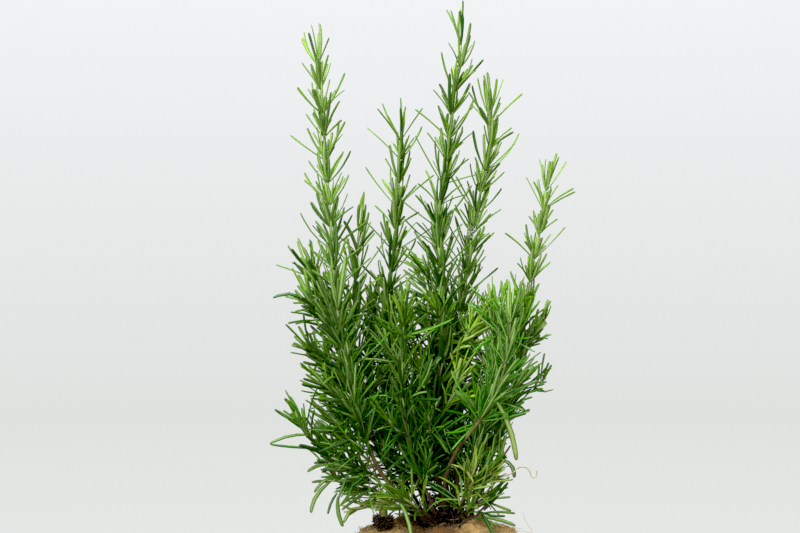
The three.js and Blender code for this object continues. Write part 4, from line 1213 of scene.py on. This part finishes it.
def sack_fibre(order, draw):
    at_lip = order % 3 == 0
    row = LIP_ROW + 1 - int(3 * draw(1)) if at_lip else int(mix(14, SACK_ALONG - 2, draw(1) ** 0.5))
    column = int(draw(2) * SACK_AROUND)
    start = sack_outer[row, column]
    up_cloth = unit(start - sack_outer[row - 1, column])
    round_cloth = unit(sack_outer[row, (column + 1) % SACK_AROUND] - start)
    outward = np.cross(round_cloth, up_cloth)
    turn = 2 * math.pi * draw(3)
    sideways = math.cos(turn) * up_cloth + math.sin(turn) * round_cloth
    if at_lip:
        sideways = up_cloth + 0.8 * (draw(5) - 0.5) * round_cloth
    return fibre(start - 0.2 * outward, outward, sideways, mix(*FIBRE_LENGTHS, draw(4)),
                 mix(*FIBRE_RADII, draw(6)), 0.9 * (draw(7) - 0.5))


def seam_stitches():
    """Slanting stitches of thick thread over the seam at the back."""
    parts, column = [], round(SEAM_ANGLE / (2 * math.pi) * SACK_AROUND)
    for row in range(FIRST_STITCH_ROW, LIP_ROW - 2):
        here, above = sack_outer[row], sack_outer[row + 1]
        outward = unit(np.cross(here[column + 2] - here[column - 2], above[column] - here[column]))
        middle = (here[column] + above[column]) / 2 + STITCH_ARCH * outward
        route = Curve([here[column - 2], middle, above[column + 2]])
        parts.append(tube([route.point(share) for share in np.linspace(0, 1, 7)], [STITCH_RADIUS] * 7, 6))
    return join_parts(parts)


thread_finish = jute_material("jute_thread", (214, 184, 124), (168, 130, 74))
make_piece("sack_fibres", *strew(FIBRES, (3, 7), sack_fibre), thread_finish, "jute", ["jute_sack"])
make_piece("seam_stitches", *seam_stitches(), thread_finish, "jute", ["jute_sack"])
print("fibres:", FIBRES)

# %% [markdown]
# ## Soil, crumbs and fallen leaves
#
# The soil keeps its solid and gets a dark, crumbly finish. Real potting soil has lumps and bits of bark on
# top, and dead leaves collect round the foot of the stems, so small lumps and curled dry leaves are strewn
# over it.

# %% Finishes for soil, pot and everything dry
def plain_material(name, light, dark, scale, roughness, depth, sharpness=0.2):
    material, tree, shader = new_material(name)
    fine = use_group(tree, grain, {"Scale": scale * 5, "Depth": depth})
    colour = clouded(tree, light, dark, scale, Sharpness=sharpness)
    fill_sockets(tree, shader, {"Base Color": colour, "Normal": fine, "Roughness": roughness})
    return material


soil_finish = plain_material("potting_soil", (62, 44, 30), (24, 16, 11), 420.0, 0.95, 1.0)
pot_finish = plain_material("nursery_plastic", (112, 78, 58), (98, 66, 48), 160.0, 0.55, 0.12)
dry_finish = plain_material("dry_leaf", (158, 140, 98), (48, 36, 24), 160.0, 0.8, 0.5, 0.12)
black_finish = plain_material("withered_leaf", (62, 48, 40), (17, 12, 9), 500.0, 0.8, 0.6)
tuft_finish = plain_material("withered_tuft", (84, 70, 58), (22, 16, 13), 500.0, 0.85, 0.6)
stub_finish = plain_material("olive_stub", (134, 140, 66), (76, 80, 26), 700.0, 0.8, 0.4)
pale_finish = plain_material("dry_thread", (202, 188, 152), (162, 144, 108), 300.0, 0.7, 0.3)
for name, finish in (("potting_soil", soil_finish), ("plant_pot", pot_finish)):
    solid = bpy.data.objects[name]
    for slot in solid.material_slots:
        slot.link = "OBJECT"
        slot.material = finish

# %% Crumbs on the soil
CRUMBS = 420
CRUMB_REACH = 51
CRUMB_SIZES = (0.6, 2.1)
LEVEL_RADIUS, SLOPE_WIDTH = 36, 17
LEVEL_DROP, SLOPE_DROP = 0.6, 2.4
LUMP_AXES = [unit(np.array(axis, float)) for axis in
             [(0, 0, 1), (0.9, 0, 0.4), (0.3, 0.85, 0.4), (-0.7, 0.5, 0.4), (-0.7, -0.5, 0.4),
              (0.3, -0.85, 0.4), (0.7, 0.5, -0.4), (-0.3, 0.85, -0.4), (-0.9, 0, -0.4), (-0.3, -0.85, -0.4),
              (0.7, -0.5, -0.4), (0, 0, -1)]]
LUMP_FACES = ([[0, 1 + k, 1 + (k + 1) % 5] for k in range(5)]
              + [[1 + k, 6 + k, 1 + (k + 1) % 5] for k in range(5)]
              + [[6 + k, 6 + (k + 1) % 5, 1 + (k + 1) % 5] for k in range(5)]
              + [[11, 6 + (k + 1) % 5, 6 + k] for k in range(5)])


def soil_height(radius):
    """The soil is a little lower away from the middle, and slopes down near the pot's wall."""
    slope = max(0, (radius - LEVEL_RADIUS) / SLOPE_WIDTH)
    return SOIL_TOP - LEVEL_DROP * min(radius / LEVEL_RADIUS, 1) - SLOPE_DROP * slope


def soil_crumb(order, draw):
    out, size = CRUMB_REACH * draw(1) ** 0.5, mix(*CRUMB_SIZES, draw(3) ** 2)
    centre = on_circle(out, 2 * math.pi * draw(2), soil_height(out) + 0.35 * size)
    corners = [centre + size * axis * mix(0.7, 1.2, draw(10 + k)) * (1, 1, 0.75)
               for k, axis in enumerate(LUMP_AXES)]
    return np.array(corners), LUMP_FACES


make_piece("soil_crumbs", *strew(CRUMBS, (11, 5), soil_crumb), soil_finish, "soil", smooth=False)
print("crumbs:", CRUMBS)

# %% Dry leaves round the foot of the stems
def strewn_leaves(count, seed, centre, reach, rise, lengths):
    """Curled dry leaves about a place on the soil, thickest in its middle and near the ground."""
    leaves = []
    for order in range(count):
        draw = partial(chance, order, seed, 3)
        out = reach * mix(0.05, 1, draw(1) ** 0.8)
        height = SOIL_TOP + mix(1.0, rise, draw(3) ** 1.3) * (1 - 0.6 * out / reach)
        tilt = 1.3 * (draw(5) - 0.45)
        direction = on_circle(math.cos(tilt), 2 * math.pi * draw(4), math.sin(tilt))
        facing = unit(np.cross(direction, np.cross((0.2, -0.5, 1), direction)))
        curled = curl(direction, facing, 1.6 * (draw(7) - 0.5), 1.4 * (draw(8) - 0.5), 0.3 * draw(9))
        leaf = dict(foot=on_circle(out, 2 * math.pi * draw(2), height, centre), direction=direction,
                    facing=facing, length=mix(*lengths, draw(6)), curl=curled, width=mix(1.1, 1.9, draw(10)),
                    twist=4 * (draw(11) - 0.5), age=0, tint=0, yellow=0)
        stops = [path_of_leaf(leaf, share) for share in (0, 0.5, 1)]
        if all(misses_sack(stop) and stop[2] > SOIL_TOP for stop in stops):
            leaves.append(leaf)
    return mesh_of_leaves(leaves)[:2]


CROWN_PLACE = (8, -9)
CROWN_BACK = (-5, 4)
light_leaves = [strewn_leaves(200, 29, (11, -3), 18, 38, (7, 14)),
                strewn_leaves(70, 53, (19, -16), 7, 26, (5, 10))]
crown_leaves = [strewn_leaves(330, 31, CROWN_PLACE, 14, 36, (7, 14)),
                strewn_leaves(110, 47, CROWN_BACK, 12, 36, (7, 14))]
make_piece("dry_leaves", *join_parts(light_leaves), dry_finish, "withered")
make_piece("black_dead_leaves", *join_parts(crown_leaves), black_finish, "withered")


DEAD_TWIGS = 16
DEAD_TWIG_REACH = 16
DEAD_TWIG_HEIGHTS = (16, 40)


def dead_twig(order, draw):
    """A thin bare twig that stands between the living stems."""
    foot = on_circle(DEAD_TWIG_REACH * draw(1) ** 0.5, GOLDEN_TURN * order, SOIL_TOP - 1, CROWN_PLACE)
    lean = np.array((0.9 * (draw(2) - 0.5), 0.7 * (draw(3) - 0.5), 1))
    bow = np.array((draw(5) - 0.5, draw(6) - 0.5, 0)) * 0.3
    stops = np.linspace(0, 1, 7)[:, None]
    path = foot + mix(*DEAD_TWIG_HEIGHTS, draw(4)) * (stops * lean + stops ** 2 * bow)
    return tube(path, mix(1.0, 0.45, stops[:, 0]) * mix(0.7, 1.2, draw(7)), 6)


make_piece("dead_twigs", *strew(DEAD_TWIGS, (37, 3), dead_twig), black_finish, "withered")
print("dead leaves and twigs stand round", CROWN_PLACE)

# %% [markdown]
# ## The withered tuft
#
# A side shoot that died has dried black. Its leaves shrank to short blunt needles that stand off a small
# head on all sides, and the stub that holds it is still olive.

# %% The black head and its stub
TUFT_SEAT_SHARE = 0.49
TUFT_NEEDLES = 170
TUFT_REACH = (7.0, 10.2)
BARE_TOP = 0.8
low_side = next(shoot for shoot in shoots if shoot["node"] == "low_left_stem" and shoot["is_side"])
tuft_seat = low_side["curve"].point(TUFT_SEAT_SHARE)
TUFT_CENTRE = np.array((tuft_seat[0], tuft_seat[1], RIM_TOP + 11.2))


def tuft_needle(order, draw):
    """Needles stand a golden turn apart on a ball, but none at its top, where the stub is."""
    height = 1 - 2 * (order + 0.5) / TUFT_NEEDLES
    if height > BARE_TOP:
        return None
    outward = on_circle(math.sqrt(1 - height ** 2), GOLDEN_TURN * order, height * 0.82)
    side = unit(np.cross(outward, (draw(2) - 0.5, draw(3) - 0.5, 1)))
    stops = np.array([0.2, 0.6, 0.85, 1.0])[:, None]
    sideways = 0.16 * (draw(4) - 0.5) * stops ** 2 * side
    path = TUFT_CENTRE + mix(*TUFT_REACH, draw(1)) * (stops * outward + sideways)
    return tube(path, [0.9, 0.62, 0.5, 0.28], 5)


needles = strew(TUFT_NEEDLES, (41, 9), tuft_needle)
stub_path = [TUFT_CENTRE, TUFT_CENTRE + (0, 0, 4), tuft_seat + (0, 0, -3), tuft_seat + (0, 0, -1.2)]
stub = tube(stub_path, [3.6, 3.4, 3.0, 2.4], 10)
make_piece("withered_tuft_needles", *needles, tuft_finish, "withered", ["withered_tuft"])
make_piece("withered_tuft_stub", *stub, stub_finish, "withered", ["withered_tuft"])
print("tuft needles:", TUFT_NEEDLES)

# %% [markdown]
# ## Loose threads
#
# One pale, dry thread has caught in the leaves on the right and ends in a curl. Two finer threads stand off
# the sack, and a thin dead twig and a dead stalk hang at the foot of the stems. Each is a tube along a
# smooth curve through a few points.

# %% Threads through a few points
THREADS = {
    "curled_dry_thread": ([(43, -20, 147), (54.4, -23, 151.3), (59, -23, 155.2), (63.6, -23, 155.4),
                           (66.7, -23, 153.2), (68.1, -23, 149.1), (70, -23, 147.7), (71.9, -23, 149.5),
                           (72.4, -23, 153.2)], 0.52, pale_finish, "jute"),
    "loose_thread": ([(50, -22, 105.5), (54, -27, 109.5), (62, -28, 109), (68.4, -28, 108), (67.5, -28, 111),
                      (64, -28, 116), (61.4, -28, 124)], 0.14, thread_finish, "jute"),
    "loose_thread_low": ([(40, -26, 112), (48, -28, 110.6), (56, -28, 111.6), (62, -29, 110.8)],
                         0.11, thread_finish, "jute"),
    "thin_dead_twig": ([(14.9, -21, 112), (20, -25, 116), (27, -28, 120), (32, -29, 126), (38.2, -30, 129)],
                       0.65, tuft_finish, "withered"),
    "thin_dead_stalk": ([(-28.7, -22.5, 125), (-28.9, -24, 119), (-28.6, -25, 110)],
                        0.7, tuft_finish, "withered"),
}
shares = np.linspace(0, 1, 60)
uneven = (1 - 0.25 * shares) * (1 + 0.15 * np.sin(31 * shares))
for name, (stops, radius, finish, slot) in THREADS.items():
    route = Curve(stops)
    make_piece(name, *tube([route.point(share) for share in shares], radius * uneven, 6), finish, slot)
print("threads:", list(THREADS))

# %% [markdown]
# A wisp of pale fluff has caught high on a stem at the back. It is made like the fuzz of the cloth, from
# short thin fibres that start near one place and point every way.

# %% Pale fluff that is caught on a stem
FLUFF_PLACE = (26, 12, 329)
FLUFF_SIZE = (6, 5, 9)
FLUFF_FIBRES = 80


def fluff_fibre(order, draw):
    start, outward, sideways = (np.array([draw(use + k) - 0.5 for k in range(3)]) for use in (1, 4, 8))
    return fibre(FLUFF_PLACE + start * FLUFF_SIZE, unit(outward), unit(sideways), mix(2.0, 5.0, draw(12)),
                 0.1, 1.5 * (draw(13) - 0.5))


fluff_finish = plain_material("pale_fluff", (240, 242, 234), (214, 218, 206), 300.0, 0.9, 0.1)
make_piece("pale_fluff", *strew(FLUFF_FIBRES, (43, 7), fluff_fibre), fluff_finish, "withered")
print("fluff fibres:", FLUFF_FIBRES)

# %% [markdown]
# ## The studio
#
# The plant stands on a pale floor that curves up into a pale wall all round, so there is no horizon and every
# side has the same quiet background. Light comes softly from everywhere, with two large lamps from the front
# and above to give the leaves a gentle gloss.

# %% Floor, wall and lights
PAPER_WHITE = 0.04
BLACK_POINT = 0.012
WORLD_STRENGTH = 0.74
FLOOR_RADIUS, CURVE_RADIUS, WALL_HEIGHT = 2.3, 0.9, 3.4
ROOM_SIDES, CURVE_STEPS = 96, 12
LAMP_AIM = Vector((0, 0, 0.25))


def paper_material():
    material, tree, shader = new_material("studio_paper")
    where = place(tree, "ShaderNodeTexCoord", {})["Object"]
    rising = rescale(tree, place(tree, "ShaderNodeSeparateXYZ", {"Vector": where})["Z"], 0.0, 1.0)
    fill_sockets(tree, shader, {
        "Emission Color": blend_colours(tree, rising, paint(221, 224, 221), paint(240, 242, 244)),
        "Emission Strength": 1 - PAPER_WHITE, "Base Color": (PAPER_WHITE, PAPER_WHITE, PAPER_WHITE, 1),
        "Roughness": 1.0, "Specular IOR Level": 0.0})
    return material


def studio():
    profile = [(FLOOR_RADIUS, 0.0)]
    for angle in np.linspace(0, math.pi / 2, CURVE_STEPS + 1)[1:]:
        profile.append((FLOOR_RADIUS + CURVE_RADIUS * math.sin(angle), CURVE_RADIUS * (1 - math.cos(angle))))
    profile.append((FLOOR_RADIUS + CURVE_RADIUS, WALL_HEIGHT))
    points = [on_circle(out, 2 * math.pi * k / ROOM_SIDES, z).tolist() for out, z in profile
              for k in range(ROOM_SIDES)]
    open_at_top = ring_faces(len(profile), ROOM_SIDES)[:-1]
    room = make_object("studio", points, open_at_top, paper_material())
    room.visible_shadow = room.visible_diffuse = room.visible_glossy = False
    room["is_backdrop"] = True


def soft_lamp(name, location, size, power):
    data = bpy.data.lights.new(name, "AREA")
    data.shape = "DISK"
    data.size = size
    data.energy = power
    lamp = add_object(name, data)
    lamp.location = location
    lamp.rotation_euler = (LAMP_AIM - Vector(location)).to_track_quat("-Z", "Y").to_euler()


studio()
soft_lamp("key_lamp", (-0.8, -1.6, 1.6), 1.3, 75)
soft_lamp("top_lamp", (0.2, 0.1, 2.0), 1.5, 53)
world = bpy.data.worlds.new("even_light")
bpy.context.scene.world = world
world.use_nodes = True
sky = world.node_tree.nodes["Background"]
fill_sockets(world.node_tree, sky, {"Color": (1, 1, 1, 1), "Strength": WORLD_STRENGTH})
world.cycles_visibility.glossy = False
view = bpy.context.scene.view_settings
view.view_transform = "Standard"
view.use_curve_mapping = True
view.curve_mapping.black_level = (BLACK_POINT, BLACK_POINT, BLACK_POINT)
view.curve_mapping.update()
print("lamps:", len(bpy.data.lights), "black level:", BLACK_POINT)

# %% Closing: how far the dressed model reaches past the solids, in millimetres
shown_low, shown_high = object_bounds()
grown = (*(cad_low - shown_low), *(shown_high - cad_high))
print("grown by in mm:", [round(1000 * step, 1) for step in grown])
